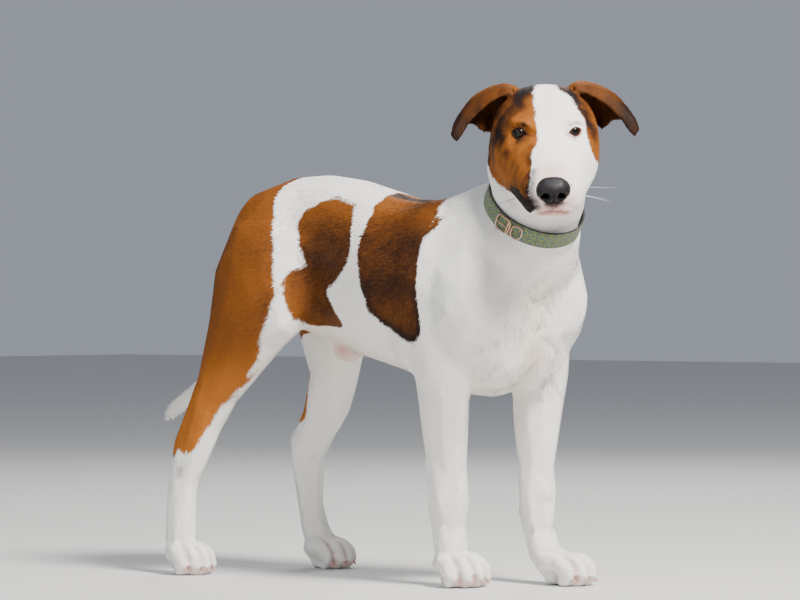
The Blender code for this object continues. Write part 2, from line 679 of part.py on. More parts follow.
def tag_ring():
    """A D-shaped ring lying over the band, its bow downwards."""
    lift = RING_WIRE + CLEARANCE
    points = []
    for x, y in ((-1, 0.36), (0, 0.42), (1, 0.36), (1.1, 0.0), (0.7, -0.30), (0, -0.42), (-0.7, -0.30),
                 (-1.1, 0.0)):
        points.append(on_collar(RING_ANGLE + x * RING_WIDE / 2, y * COLLAR_WIDTH, lift))
    return hoop("collar_ring", points, RING_WIRE, "bronze", roughness=0.3, metallic=1.0)


# ---- the whole dog ---------------------------------------------------------------------------
def biggest_part(made):
    """Only the largest loose part is kept."""
    shape = bmesh.new()
    shape.from_mesh(made.data)
    left, parts = set(shape.verts), []
    while left:
        grow, part = [left.pop()], set()
        while grow:
            v = grow.pop()
            part.add(v)
            for e in v.link_edges:
                other = e.other_vert(v)
                if other in left:
                    left.discard(other)
                    grow.append(other)
        parts.append(part)
    parts.sort(key=len)
    bmesh.ops.delete(shape, geom=[v for part in parts[:-1] for v in part])
    shape.to_mesh(made.data)
    shape.free()


def whole_dog():
    pieces = parted(melted_flesh())
    for name in PAWS:
        stand_flat(pieces[name + "_paw"])
    head = pieces["head"]
    for s, eyeball in zip((1, -1), eyes()):
        room, opening = grown(eyeball, GAP), lid_opening(s)
        cut(room, opening, "UNION")
        cut(head, room)
        remove(room)
        remove(opening)
    leather = nose()
    socket(head, leather)
    open_nostrils(leather)
    for name in PAWS:
        socket(pieces[name + "_paw"], *claws_of(name))
    for side, place in DEWCLAWS.items():
        socket(pieces[side + "_fore_leg"], dewclaw(side, *place))
    for side in ("left", "right"):
        leaf = ear(side)
        socket(leaf, head)
        socket(leaf, pieces["neck"])
        biggest_part(leaf)
    band("collar", COLLAR_THICKNESS)
    bed = band("bed", COLLAR_BED)
    socket(pieces["neck"], bed)
    remove(bed)
    buckle()
    tag_ring()


def stand_on_origin():
    """The middle of the whole dog's footprint comes to the origin, its soles to Z = 0."""
    made = [o for o in bpy.data.objects if not o.hide_render]
    points = np.array([v.co for o in made for v in o.data.vertices])
    low, high = points.min(axis=0), points.max(axis=0)
    shift = Vector((-(low[0] + high[0]) / 2, -(low[1] + high[1]) / 2, -low[2]))
    for o in made:
        o.data.transform(Matrix.Translation(shift))
    return shift


whole_dog()
print("shifted by", stand_on_origin())
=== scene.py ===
# %% [markdown]
# A young smooth-coated dog stands square on its four feet with its head turned to its right.
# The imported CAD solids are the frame: they fix every size and place, and MuJoCo keeps them.
# This lesson gives them their looks: one skin over all the flesh, a coat of small tufts that
# follow the lie of the hair, eyes, nose leather, claws and a patterned collar.

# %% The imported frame
import math

import bmesh
import bpy
import numpy as np
from mathutils import Matrix, Vector
from mathutils.bvhtree import BVHTree


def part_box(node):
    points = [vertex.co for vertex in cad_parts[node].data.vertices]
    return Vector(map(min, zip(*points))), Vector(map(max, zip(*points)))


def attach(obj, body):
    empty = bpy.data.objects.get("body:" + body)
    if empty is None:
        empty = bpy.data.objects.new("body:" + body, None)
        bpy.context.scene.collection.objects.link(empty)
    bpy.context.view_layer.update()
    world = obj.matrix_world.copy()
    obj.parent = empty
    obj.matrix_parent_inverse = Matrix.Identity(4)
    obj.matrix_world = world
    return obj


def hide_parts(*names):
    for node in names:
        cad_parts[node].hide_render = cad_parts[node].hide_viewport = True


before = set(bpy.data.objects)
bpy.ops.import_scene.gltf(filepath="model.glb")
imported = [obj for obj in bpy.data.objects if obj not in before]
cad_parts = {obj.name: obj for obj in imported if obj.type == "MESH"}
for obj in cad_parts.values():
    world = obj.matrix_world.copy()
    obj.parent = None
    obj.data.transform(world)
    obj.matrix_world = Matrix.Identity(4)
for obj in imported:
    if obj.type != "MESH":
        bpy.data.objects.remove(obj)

for name in ("Cube", "Light", "Camera"):
    if name in bpy.data.objects:
        bpy.data.objects.remove(bpy.data.objects[name])
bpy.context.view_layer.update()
bpy.ops.object.select_all(action="DESELECT")
chance = np.random.default_rng(41)

# %% [markdown]
# The head is turned, dropped and tilted a little, so its parts are easiest to place in its own
# frame: forward to the nose, left, and up.  The two eyeballs say where that frame stands.

# %% The head's own frame
def middle_of(*nodes):
    """The middle of the boxes of some nodes."""
    corners = [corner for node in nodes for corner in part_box(node)]
    return sum(corners, Vector()) / len(corners)

def turned(degrees, axis):
    return Matrix.Rotation(math.radians(degrees), 3, axis)

HEAD_AXES = turned(-48.2, "Z") @ turned(25.0, "Y") @ turned(2.0, "X")
EYES_ON_HEAD = Vector((0.049, 0.0, 0.0125))
SKULL = middle_of("left_eye", "right_eye") - HEAD_AXES @ EYES_ON_HEAD

def on_head(forward, left, up):
    return SKULL + HEAD_AXES @ Vector((forward, left, up))

def in_metres(line):
    """A line of places given in millimetres."""
    return [tuple(value / 1000 for value in place) for place in line]

def head_line(line, side=1):
    """A line of places in the head's frame, or its mirror image when side is -1."""
    return [on_head(p, side * l, q) for p, l, q in line]

def in_frame(points, centre, axes):
    """Places measured from a centre along the columns of axes."""
    return (points - np.array(centre)) @ np.array(axes)

def out_of_frame(points, centre, axes):
    """The way back from in_frame."""
    return points @ np.array(axes).T + np.array(centre)

print("the head's frame stands at", [round(v, 4) for v in SKULL])

# %% [markdown]
# The collar's frame has its Z along the neck.  Two planes across the neck part head, neck and
# trunk.  The small measures below them are used all through the lesson.

# %% The collar's frame and the planes across the neck
COLLAR_AXES = Vector((0.598, -0.267, 0.755)).to_track_quat("Z", "X").to_matrix()
COLLAR_MIDDLE = middle_of("collar")
COLLAR_RADIUS, COLLAR_STRETCH, COLLAR_WIDTH = 0.063, 1.04, 0.0245
HEAD_PLANE = (Vector((0.2636, 0.0256, 0.568)), Vector((0.402, -0.448, 0.8)))
NECK_PLANE = (Vector((0.1536, 0.0136, 0.53)), Vector((0.734, 0.0, 0.679)))

def ahead_of(points, plane):
    """How far each place lies in front of a plane."""
    return (points - np.array(plane[0])) @ np.array(plane[1].normalized())

def ramp(values, start, end):
    """0 before start, 1 after end, and a soft slope between them."""
    t = np.clip((values - start) / (end - start), 0.0, 1.0)
    return t * t * (3.0 - 2.0 * t)

def length_of(vectors):
    return np.sqrt((vectors * vectors).sum(axis=1))

def along_segment(points, a, b):
    """Distance to the line between two places, and how far along it."""
    a, b = np.array(a, float), np.array(b, float)
    way = b - a
    t = np.clip((points - a) @ way / (way @ way), 0.0, 1.0)
    return length_of(points - a - t[:, None] * way), t

print("the collar's middle", [round(v, 4) for v in COLLAR_MIDDLE])

# %% [markdown]
# The skin starts as copies of the flesh solids, grown by a hair's breadth so the thin cuts
# between them close, and melted into one body by a voxel remesh.  The eyeballs and the nose
# are melted in too, so that their sockets are filled, and are given room again later.

# %% Copies of the solids, melted together
SIDES = ("left", "right")
FLESH = ["head", "neck", "trunk", "tail"]
FEET = [f"{side}_{end}" for side in SIDES for end in ("fore", "hind")]
FLESH += [f"{foot}_{part}" for foot in FEET for part in ("leg", "paw")]
EARS = ["left_ear", "right_ear"]

def merged_copy(node, name, grow=0.0):
    """A copy of a solid with its loose triangles joined, grown along its normals."""
    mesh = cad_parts[node].data.copy()
    shape = bmesh.new()
    shape.from_mesh(mesh)
    bmesh.ops.remove_doubles(shape, verts=shape.verts, dist=0.00001)
    shape.normal_update()
    for vert in shape.verts:
        vert.co += vert.normal * grow
    shape.to_mesh(mesh)
    shape.free()
    mesh.materials.clear()
    made = bpy.data.objects.new(name, mesh)
    bpy.context.collection.objects.link(made)
    return made

def select_only(*pieces):
    """Selects these pieces alone; the first is the active one."""
    bpy.ops.object.select_all(action="DESELECT")
    for piece in pieces:
        piece.select_set(True)
    bpy.context.view_layer.objects.active = pieces[0]

def joined(pieces):
    """Pieces made one object."""
    select_only(*pieces)
    bpy.ops.object.join()
    return pieces[0]

def apply_all(piece):
    """Applies the modifiers in their order."""
    select_only(piece)
    for modifier in list(piece.modifiers):
        bpy.ops.object.modifier_apply(modifier=modifier.name)

def remeshed(piece, size):
    """The piece melted into one closed skin of small squares."""
    remesh = piece.modifiers.new("melt", "REMESH")
    remesh.mode = "VOXEL"
    remesh.voxel_size = size
    apply_all(piece)
    return piece

body = [merged_copy(node, "skin_part", 0.0004) for node in FLESH + ["left_eye", "right_eye", "nose"]]
skin = remeshed(joined(body), 0.003)
skin.name = skin.data.name = "skin"
print("melted flesh", len(skin.data.vertices), "points")

# %% [markdown]
# The solids are coarse and flat-faced.  Many light rounds of smoothing, each followed by a
# slightly stronger round back, take the facets out without shrinking the form.  Feet and
# face keep their shape, so they get only a small share of each round.

# %% Smoothing that keeps the volume
def points_of(piece):
    points = np.empty(len(piece.data.vertices) * 3)
    piece.data.vertices.foreach_get("co", points)
    return points.reshape(-1, 3)

def place_points(piece, points):
    piece.data.vertices.foreach_set("co", np.ascontiguousarray(points, dtype=np.float32).ravel())
    piece.data.update()

def normals_of(piece):
    normals = np.empty(len(piece.data.vertices) * 3, np.float32)
    piece.data.vertex_normals.foreach_get("vector", normals)
    return normals.reshape(-1, 3).astype(float)

def smooth(piece, rounds, share, back=-0.53):
    """Rounds of smoothing, each with a step back; share says how much of it each point takes."""
    points = points_of(piece)
    edges = np.empty(len(piece.data.edges) * 2, np.int32)
    piece.data.edges.foreach_get("vertices", edges)
    a, b = edges.reshape(-1, 2).T
    count = len(points)
    joins = np.maximum(np.bincount(a, minlength=count) + np.bincount(b, minlength=count), 1)
    share = np.broadcast_to(share, count)
    for step in (0.5, back) * rounds:
        for k in range(3):
            line = points[:, k]
            near = (np.bincount(a, line[b], count) + np.bincount(b, line[a], count)) / joins
            points[:, k] = line + step * share * (near - line)
    place_points(piece, points)

def head_reach(points):
    """Distance from the line between the back of the skull and the muzzle."""
    return along_segment(points, on_head(-0.03, 0, 0.0), on_head(0.15, 0, -0.03))[0]

def body_share(points):
    """How much smoothing each place takes: little on feet and face."""
    high = points[:, 2]
    share = 0.05 + 0.1 * ramp(high, 0.05, 0.08) + 0.25 * ramp(high, 0.1, 0.2)
    share += 0.6 * ramp(high, 0.22, 0.34)
    face = ramp(head_reach(points), 0.065, 0.11)
    return np.minimum(share, 0.1 + 0.75 * face)

smooth(skin, 140, body_share(points_of(skin)), -0.51)
print("smoothed flesh")

# %% [markdown]
# The ears are thin, so they join after the heavy smoothing, in a finer remesh.  Broad plain
# parts are then thinned down, which leaves the face and the feet their fine mesh.

# %% The ears join, and the plain parts are thinned
skin = remeshed(joined([skin] + [merged_copy(node, "ear_part", 0.0002) for node in EARS]), 0.0024)
smooth(skin, 8, 1.0)
places = points_of(skin)
plain = ramp(places[:, 2], 0.06, 0.12) * ramp(head_reach(places), 0.085, 0.12)
group = skin.vertex_groups.new(name="plain")
LEVELS = 10
for level in range(1, LEVELS + 1):
    chosen = np.flatnonzero(np.rint(plain * LEVELS) == level)
    group.add(chosen.tolist(), level / LEVELS, "REPLACE")
thin = skin.modifiers.new("thin", "DECIMATE")
thin.ratio = 0.36
thin.vertex_group = group.name
apply_all(skin)
skin.vertex_groups.clear()
smooth(skin, 4, 1.0)
print("skin", len(skin.data.vertices), "points")

# %% [markdown]
# The solids reach to the tips of the coat, so the skin lies inside them by the coat's depth,
# which is least on ears, face and feet.  The collar presses the neck in, and the skin eases
# out again above and below it.

# %% Down to the skin, and in under the collar
EAR_DEPTH = 0.0006

def coat_depth(points):
    """How thick the coat lies over each place."""
    high = points[:, 2]
    depth = 0.0006 + 0.0008 * ramp(high, 0.05, 0.12) + 0.0014 * ramp(high, 0.2, 0.36)
    depth = np.minimum(depth, 0.0006 + 0.0022 * ramp(head_reach(points), 0.06, 0.11))
    to_tip = length_of(points - points[points[:, 0].argmin()])
    depth = np.minimum(depth, 0.0003 + 0.0025 * ramp(to_tip, 0.015, 0.06))
    p, l, q = in_frame(points, SKULL, HEAD_AXES).T
    flap = ramp(np.abs(l), 0.056, 0.066) * (q > -0.035) * (np.abs(p) < 0.08)
    return depth + (np.minimum(depth, EAR_DEPTH) - depth) * flap

places = points_of(skin)
places -= normals_of(skin) * coat_depth(places)[:, None]
around = in_frame(places, COLLAR_MIDDLE, COLLAR_AXES)
far = np.hypot(around[:, 0] / COLLAR_STRETCH, around[:, 1])
beyond = np.maximum(np.abs(around[:, 2]) - COLLAR_WIDTH / 2 + 0.001, 0.0)
room = COLLAR_RADIUS - 0.0012 + 0.3 * beyond
held = (np.abs(around[:, 2]) < 0.035) & (far < 0.1) & (far > room)
room = room + (far - room) * ramp(beyond, 0.001, 0.012)
around[held, :2] *= (room[held] / far[held])[:, None]
places[held] = out_of_frame(around[held], COLLAR_MIDDLE, COLLAR_AXES)
place_points(skin, places)
print(int(held.sum()), "points held in by the collar")

# %% [markdown]
# Lids, lips and nose need a finer mesh than the cheeks, so the faces round them are divided.

# %% Finer mesh round the eyes and the nose
EYE_RADIUS = (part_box("left_eye")[1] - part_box("left_eye")[0]).z / 2
NOSE_MIDDLE, NOSE_SIZE = on_head(0.1575, 0.0005, -0.022), Vector((0.0175, 0.0225, 0.018))
eye_middle = {side: middle_of(side + "_eye") for side in SIDES}
EYES_OUT, EYES_UP = 16.0, -20.0
eye_axes = {side: HEAD_AXES @ turned(s * EYES_OUT, "Z") @ turned(EYES_UP, "Y")
            for side, s in (("left", 1), ("right", -1))}

def finer(piece, centre, reach):
    """Divides the faces near a centre."""
    shape = bmesh.new()
    shape.from_mesh(piece.data)
    for vert in shape.verts:
        vert.tag = (vert.co - centre).length < reach
    edges = [edge for edge in shape.edges if edge.verts[0].tag and edge.verts[1].tag]
    bmesh.ops.subdivide_edges(shape, edges=edges, cuts=1, use_grid_fill=True)
    bmesh.ops.triangulate(shape, faces=[face for face in shape.faces if len(face.verts) > 3])
    shape.to_mesh(piece.data)
    shape.free()

for side in SIDES:
    finer(skin, eye_middle[side], 0.024)
    finer(skin, eye_middle[side] + eye_axes[side] @ Vector((0.008, 0, 0)), 0.014)
finer(skin, NOSE_MIDDLE + HEAD_AXES @ Vector((-0.004, 0, -0.01)), 0.034)
face_points = points_of(skin)
soft = np.zeros(len(face_points))
for centre in list(eye_middle.values()) + [NOSE_MIDDLE]:
    soft = np.maximum(soft, 1.0 - ramp(length_of(face_points - np.array(centre)), 0.02, 0.034))
smooth(skin, 6, soft)
print("skin", len(skin.data.polygons), "faces")

# %% [markdown]
# Sculpting by strokes: a line is laid on the skin, and the skin near it is raised or sunk in
# a soft band.  Each stroke is what a thumb or a modelling tool would do in clay.

# %% The stroke tool
def skin_tree(piece):
    shape = bmesh.new()
    shape.from_mesh(piece.data)
    tree = BVHTree.FromBMesh(shape)
    shape.free()
    return tree

def laid_on(line, steps=4):
    """A line of places, filled in and dropped on to the skin."""
    dense = []
    for a, b in zip(line, line[1:]):
        dense += [a.lerp(b, i / steps) for i in range(steps)]
    dense.append(line[-1])
    return np.array([tree.find_nearest(place)[0] for place in dense])

def stroke(line, width, height):
    """Raises the skin along a line, less at its ends; a negative height sinks it."""
    line = laid_on([Vector(place) for place in line])
    low, high = line.min(0) - 3 * width, line.max(0) + 3 * width
    near = np.flatnonzero(((places > low) & (places < high)).all(axis=1))
    spot = places[near]
    lift = np.zeros(len(near))
    for i, (a, b) in enumerate(zip(line, line[1:])):
        gap, t = along_segment(spot, a, b)
        end = (i + t) / (len(line) - 1)
        share = np.minimum(1.0, 5.0 * np.minimum(end, 1.0 - end) + 0.25)
        lift = np.maximum(lift, np.exp(-(gap / width) ** 2) * share)
    places[near] = spot + normals[near] * (lift * height)[:, None]

def on_middle(line, width, height):
    """A stroke over the middle of the head."""
    stroke(head_line(line), width, height)

def both_sides(line, width, height):
    """The same stroke on the right and the left of the head."""
    for s in (-1, 1):
        stroke(head_line(line, s), width, height)

def strokes(marks, lay=stroke):
    """Lays each stroke of a table: its width, its height and its line, in millimetres."""
    for width, height, line in marks:
        lay(in_metres(line), width / 1000, height / 1000)

places, normals, tree = points_of(skin), normals_of(skin), skin_tree(skin)
print("ready to sculpt", len(places), "points")

# %% [markdown]
# The eyes are set deep.  The lids are shells that follow the eyeball just off its surface, and
# between them the skin drops behind the eyeball in an almond opening.

# %% Lids and eye openings
LID_WIDE, LID_UP, LID_DOWN, LID_TILT = 0.01, 0.006, 0.0056, 0.14
BEHIND_BALL = 0.003
# around each eye: the crease over the upper lid, the brow above it, the crease of the lower lid
EYE_STROKES = [
    (1.8, -1.1, [(52, 46, 21.5), (59.5, 40, 27.5), (66.5, 31, 27)]),
    (4.5, 1.6, [(50, 44, 27), (57, 38, 33), (64, 29, 32)]),
    (1.6, -0.7, [(54, 48, 4), (63.5, 41, 2), (70.5, 30, 6)]),
]

def lid_distance(points, side):
    """Distance to the rim of the eye opening, negative inside it, and the place's own radius."""
    s = 1 if side == "left" else -1
    local = in_frame(points, eye_middle[side], eye_axes[side])
    radius = np.maximum(length_of(local), 0.000001)
    ahead = local[:, 0] / radius
    depth = EYE_RADIUS / np.maximum(ahead, 0.3) / radius
    across = local[:, 1] * s * depth
    up = local[:, 2] * depth - LID_TILT * across
    curve = 1.0 - (across / LID_WIDE) ** 2
    slope = np.sqrt(1.0 + (2.0 * LID_UP * across / LID_WIDE ** 2) ** 2)
    gap = np.maximum(up - LID_UP * curve, -LID_DOWN * curve - up) / slope
    return np.where(ahead > 0.3, gap, 1.0), radius

for side in SIDES:
    gap, radius = lid_distance(places, side)
    around_eye = np.flatnonzero((gap < 0.012) & (radius < 0.03))
    gap, old = gap[around_eye], radius[around_eye]
    lid = EYE_RADIUS + 0.0013 + 0.0006 * np.exp(-((gap - 0.002) / 0.002) ** 2)
    new = EYE_RADIUS - BEHIND_BALL + (lid - EYE_RADIUS + BEHIND_BALL) * ramp(gap, -0.0005, 0.0004)
    new = new + (old - new) * ramp(gap, 0.0022, 0.01)
    centre = np.array(eye_middle[side])
    places[around_eye] = centre + (places[around_eye] - centre) * (new / old)[:, None]
place_points(skin, places)
tree, normals = skin_tree(skin), normals_of(skin)
strokes(EYE_STROKES, both_sides)
print("lids follow the eyeballs at", round(EYE_RADIUS, 4))

# %% [markdown]
# The nose leather is a piece of its own, so the skin drops behind it.  The lips meet in a line
# that runs back from under the nose, and a groove joins the nose to it.  Broad soft strokes
# round the cheeks and hollow the sides of the muzzle.

# %% Nose bed, lips and chin
LIPS = in_metres([(168.5, 0, -46.5), (166, 10, -47), (162, 19, -49), (150, 30, -57),
                  (125, 40, -69), (95, 46, -76), (68, 52, -73), (45, 60, -60)])
GROOVE = [(1.2, -1.6, [(172, 0, -38), (170, 0, -45.5)])]
CHEEKS = [
    (12, 1.2, [(135, 26, -30), (115, 34, -38), (95, 40, -42)]),
    (8, -1.0, [(85, 30, 6), (105, 28, -6), (125, 25, -12)]),
]
BROW_AND_CHIN = [
    (6, -1.2, [(85, 0, 18), (50, 0, 45), (0, 0, 56)]),
    (4, -3.0, [(146, -26, -66), (155, -12, -63), (157, 0, -62.5), (155, 12, -63), (146, 26, -66)]),
]
local = in_frame(places, NOSE_MIDDLE, HEAD_AXES) / np.array(NOSE_SIZE)
inside = np.flatnonzero((length_of(local) < 1.1) & (local[:, 0] > -0.2))
sunk = local[inside]
share = 1.0 - ramp(length_of(sunk), 0.96, 1.08)
sunk[:, 0] = sunk[:, 0] + (np.minimum(sunk[:, 0], -0.1) - sunk[:, 0]) * share
places[inside] = out_of_frame(sunk * np.array(NOSE_SIZE), NOSE_MIDDLE, HEAD_AXES)
place_points(skin, places)
tree, normals = skin_tree(skin), normals_of(skin)
both_sides(LIPS, 0.0019, -0.0034)
both_sides([(p, l, q + 0.005) for p, l, q in LIPS], 0.004, 0.0014)
both_sides([(p, l, q - 0.005) for p, l, q in LIPS[:4]], 0.003, 0.001)
strokes(GROOVE, on_middle)
strokes(CHEEKS, both_sides)
strokes(BROW_AND_CHIN, on_middle)
print("face sculpted")

# %% [markdown]
# Each foot has four toes.  The claws say where they end, and a cleft runs back between each
# two neighbours, up over the front of the foot.  Each toe has a knuckle.

# %% Toes
PAW_HEADING = {"right_fore": -18.0, "left_fore": 2.0, "right_hind": -14.0, "left_hind": -4.0}
# how far behind the claws' tips, and how high above them, in metres
CLEFT = ((0.001, -0.004), (0.006, 0.008), (0.016, 0.018), (0.027, 0.027))
KNUCKLE = ((0.01, 0.014), (0.017, 0.019))
toe_clefts = []
for foot, heading in PAW_HEADING.items():
    back = turned(heading, "Z") @ Vector((-1, 0, 0))
    across = turned(heading, "Z") @ Vector((0, 1, 0))
    claws = [middle_of(f"{foot}_claw_{i}") for i in (1, 2, 3, 4)]
    claws.sort(key=lambda claw: claw.dot(across))
    for a, b in zip(claws, claws[1:]):
        line = [(a + b) / 2 + back * behind + Vector((0, 0, high)) for behind, high in CLEFT]
        stroke(line, 0.003, -0.0058)
        toe_clefts.append(line)
    for claw in claws:
        stroke([claw + back * behind + Vector((0, 0, high)) for behind, high in KNUCKLE], 0.0055, 0.0012)
places[:, 2] = np.maximum(places[:, 2], 0.0002)
print(len(toe_clefts), "clefts between toes")

# %% [markdown]
# Folds of loose skin and the muscles under it: the keel of the breastbone with its whorl,
# the folds before each foreleg, the elbow, the flank, the hollow above the hock.

# %% Folds and muscles of the body
BREAST = [
    (7, 4.8, [(268, 4, 405), (272, 0, 372), (270, 6, 342)]),
    (6, -3.5, [(262, -10, 400), (266, -14, 370), (264, -8, 340)]),
    (6, -3.5, [(262, 22, 395), (264, 26, 362), (262, 18, 332)]),
    (6, 2.6, [(269, 8, 334), (262, 10, 310), (250, 12, 285)]),
    (6, -3.8, [(255, -12, 335), (240, -35, 322), (215, -55, 318)]),
    (6, -3.5, [(258, 30, 330), (255, 50, 315), (245, 68, 300)]),
    (5, -3.5, [(238, -30, 300), (226, -42, 278), (216, -48, 262)]),
    (5, -3.2, [(262, 52, 296), (268, 62, 270), (270, 70, 250)]),
]
ELBOWS_AND_FLANKS = [
    (6, -4.5, [(150, -88, 345), (138, -90, 315), (132, -86, 290)]),
    (6, -4.5, [(150, 110, 345), (140, 112, 315), (136, 106, 290)]),
    (7, -3.5, [(-95, -92, 375), (-112, -94, 340), (-132, -94, 305)]),
    (7, -3.5, [(-95, 105, 375), (-112, 108, 340), (-132, 110, 305)]),
    (10, 11, [(-85, 4, 300), (-60, 2, 296), (-45, 0, 292)]),
]
strokes(BREAST + ELBOWS_AND_FLANKS)
for x, y in ((-252, -117), (-252, -91), (-180, 88), (-180, 114)):
    strokes([(6, -2, [(x + 12, y, 235), (x + 4, y, 200), (x - 4, y, 165)])])
place_points(skin, places)
skin.data.shade_smooth()
print("body sculpted with", len(BREAST + ELBOWS_AND_FLANKS) + 4, "strokes")

# %% [markdown]
# The skin is unwrapped by its own shape.  Every tuft of the coat is later given a tiny patch
# of this map, at the place where it is rooted.

# %% The skin's own map
select_only(skin)
bpy.ops.object.mode_set(mode="EDIT")
bpy.ops.mesh.select_all(action="SELECT")
bpy.ops.uv.smart_project(angle_limit=math.radians(66.0), island_margin=0.002)
bpy.ops.object.mode_set(mode="OBJECT")
skin.data.uv_layers.active.name = "OFBake"
skin.data.calc_loop_triangles()
print("skin", len(skin.data.loop_triangles), "triangles")

# %% [markdown]
# The markings are outlines.  On the flanks an outline is drawn in length and height, in
# millimetres, once for each side, and the two meet over the spine.  On the head it is drawn on
# the skull unrolled like a sleeve: millimetres forward, and degrees round from the crown.  The
# same rules colour skin and coat.

# %% How deep a place lies in an outline
def inside_depth(x, y, outline):
    """Distance to the outline, positive inside it."""
    nearest = np.full(len(x), 1.0)
    inside = np.zeros(len(x), bool)
    for (ax, ay), (bx, by) in zip(outline, outline[1:] + outline[:1]):
        wx, wy = bx - ax, by - ay
        t = np.clip(((x - ax) * wx + (y - ay) * wy) / (wx * wx + wy * wy), 0.0, 1.0)
        nearest = np.minimum(nearest, np.hypot(x - ax - t * wx, y - ay - t * wy))
        crosses = (ay > y) != (by > y)
        inside ^= crosses & (x < wx * (y - ay) / (by - ay + 1e-12) + ax)
    return np.where(inside, nearest, -nearest)

def ripple(points, size, seed):
    """A smooth random wave between -1 and 1, its bumps about size across."""
    rules = np.random.default_rng(seed)
    total = np.zeros(len(points))
    for _ in range(7):
        way = rules.normal(size=3)
        way *= rules.uniform(0.6, 1.7) * math.tau / size / np.linalg.norm(way) / 2
        total += np.sin(points @ way + rules.uniform(0, math.tau))
    return total / 4.0

RIGHT_PATCHES = {
    "rear": [(-128, 620), (-128, 543), (-136, 522), (-125, 492), (-110, 463),
             (-100, 425), (-98, 385), (-104, 357), (-119, 333), (-134, 294),
             (-161, 259), (-195, 232), (-215, 198), (-229, 176), (-247, 163),
             (-262, 172), (-272, 160), (-300, 158), (-450, 300), (-450, 620)],
    "middle": [(-31, 515), (-64, 506), (-82, 497), (-87, 480), (-80, 463),
               (-76, 446), (-66, 422), (-85, 413), (-93, 395), (-90, 380),
               (-85, 360), (-82, 337), (-50, 335), (-26, 335), (-4, 324),
               (-10, 346), (-24, 366), (-36, 386), (-4, 402), (15, 423),
               (20, 443), (16, 467), (9, 490), (8, 503), (-12, 504), (-24, 510)],
    "front": [(28, 620), (32, 519), (37, 489), (39, 473), (35, 455),
              (37, 425), (45, 390), (58, 360), (86, 341), (128, 324),
              (144, 318), (158, 328), (157, 348), (151, 376), (148, 412),
              (144, 440), (151, 465), (155, 480), (150, 496), (142, 510), (140, 620)],
    "sliver": [(154, 462), (159, 468), (164, 487), (158, 482)],
}
LEFT_PATCHES = {
    "rear": [(-128, 620), (-130, 540), (-146, 505), (-140, 470), (-124, 440),
             (-120, 400), (-130, 360), (-150, 320), (-170, 280), (-186, 250),
             (-198, 225), (-206, 205), (-240, 200), (-450, 320), (-450, 620)],
    "middle": [(-60, 470), (-88, 455), (-98, 425), (-85, 395), (-55, 378),
               (-20, 385), (0, 405), (-6, 440), (-28, 465)],
    "front": [(28, 620), (30, 520), (22, 495), (26, 460), (40, 430), (60, 408),
              (92, 398), (120, 410), (134, 440), (140, 475), (142, 510), (140, 620)],
}
MASK = [(-100, -8), (-19, -8), (13, -10), (45, -12), (70, -15), (93, -20), (100, -28),
        (118, -36), (137, -42), (152, -52), (161, -70), (166, -88), (168, -104), (168, -119),
        (160, -128), (135, -138), (100, -152), (70, -164), (35, -140), (0, -125),
        (-50, -118), (-100, -110)]
LEFT_EAR_PATCH = [(-100, 14), (-10, 11), (0.5, 14), (8, 20), (20, 27), (28, 33), (38, 39),
                  (46, 48), (54, 52), (62, 60), (66, 70), (62, 84), (50, 94), (36, 100),
                  (10, 104), (-20, 98), (-100, 92)]
SLEEVE = 0.058
BODY_MIDDLE = 0.012

def on_sleeve(outline):
    """An outline in millimetres forward and degrees round the skull, in metres."""
    return [(p / 1000, SLEEVE * math.radians(angle)) for p, angle in outline]

print(len(RIGHT_PATCHES) + len(LEFT_PATCHES) + 2, "outlines")

# %% [markdown]
# Seven numbers say how each place is coloured: depth in a rust patch, how sable (black-tipped)
# it is, how bright the tan is, how much pink skin shows, how greyed the white is, how creamy it
# is, where the cream is partly the coat's own and partly painted shade and warm bounced light,
# and the rim of lids and lips.  Most are ramps with soft lines and spots laid over them; a table
# gives each line its strength, its width and its places, in millimetres.  The ears hang close to
# the skull, so nearness to their solids says which places are theirs.

# %% Ears, soft lines and bands
ear_trees = [skin_tree(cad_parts[node]) for node in EARS]

def ear_share(points):
    """1 on the ear flaps, 0 off them."""
    share = np.zeros(len(points))
    p, l, q = in_frame(points, SKULL, HEAD_AXES).T
    for i in np.flatnonzero((np.abs(l) > 0.028) & (q > -0.03) & (np.abs(p) < 0.07)):
        near = 0.0035 + 0.0045 * float(ramp(abs(l[i]), 0.058, 0.08))
        if any(ear.find_nearest(Vector(points[i]), near)[0] for ear in ear_trees):
            share[i] = 1.0
    return share

def line_share(points, line, width):
    """1 on a spot or a line through places, fading to 0 within about twice its width."""
    if len(line) == 1:
        gap = length_of(points - np.array(line[0]))
    else:
        gap = np.min([along_segment(points, a, b)[0] for a, b in zip(line, line[1:])], axis=0)
    return np.exp(-(gap / width) ** 2)

def soft_lines(points, lines, on_the_head=True):
    """The share of each line of a table, one row for each."""
    shares = []
    for strength, width, line in lines:
        line = head_line(in_metres(line)) if on_the_head else in_metres(line)
        shares.append(strength * line_share(points, line, width / 1000))
    return np.array(shares)

def strongest(points, lines, on_the_head=True):
    """The strongest of the lines of a table."""
    return soft_lines(points, lines, on_the_head).max(axis=0)

def band_at(values, middle, width):
    """1 where a value is at the middle of a band, fading to both sides."""
    return np.exp(-((values - middle) / width) ** 2)

print(len(ear_trees), "ears can be told from the skull")

# %% [markdown]
# Rust lies where a place is inside an outline.  The outlines of the flanks meet over the
# spine, keep off the belly and stop at the head, where the outlines on the sleeve take over.
# The legs' lower halves and the tail's end stay white, and a wobble makes the borders ragged.

# %% Where the rust lies
WHITE_BELOW = 0.15

def deepest(x, z, patches):
    """Depth in the nearest of some patches."""
    return np.max([inside_depth(x, z, in_metres(patch)) for patch in patches.values()], axis=0)

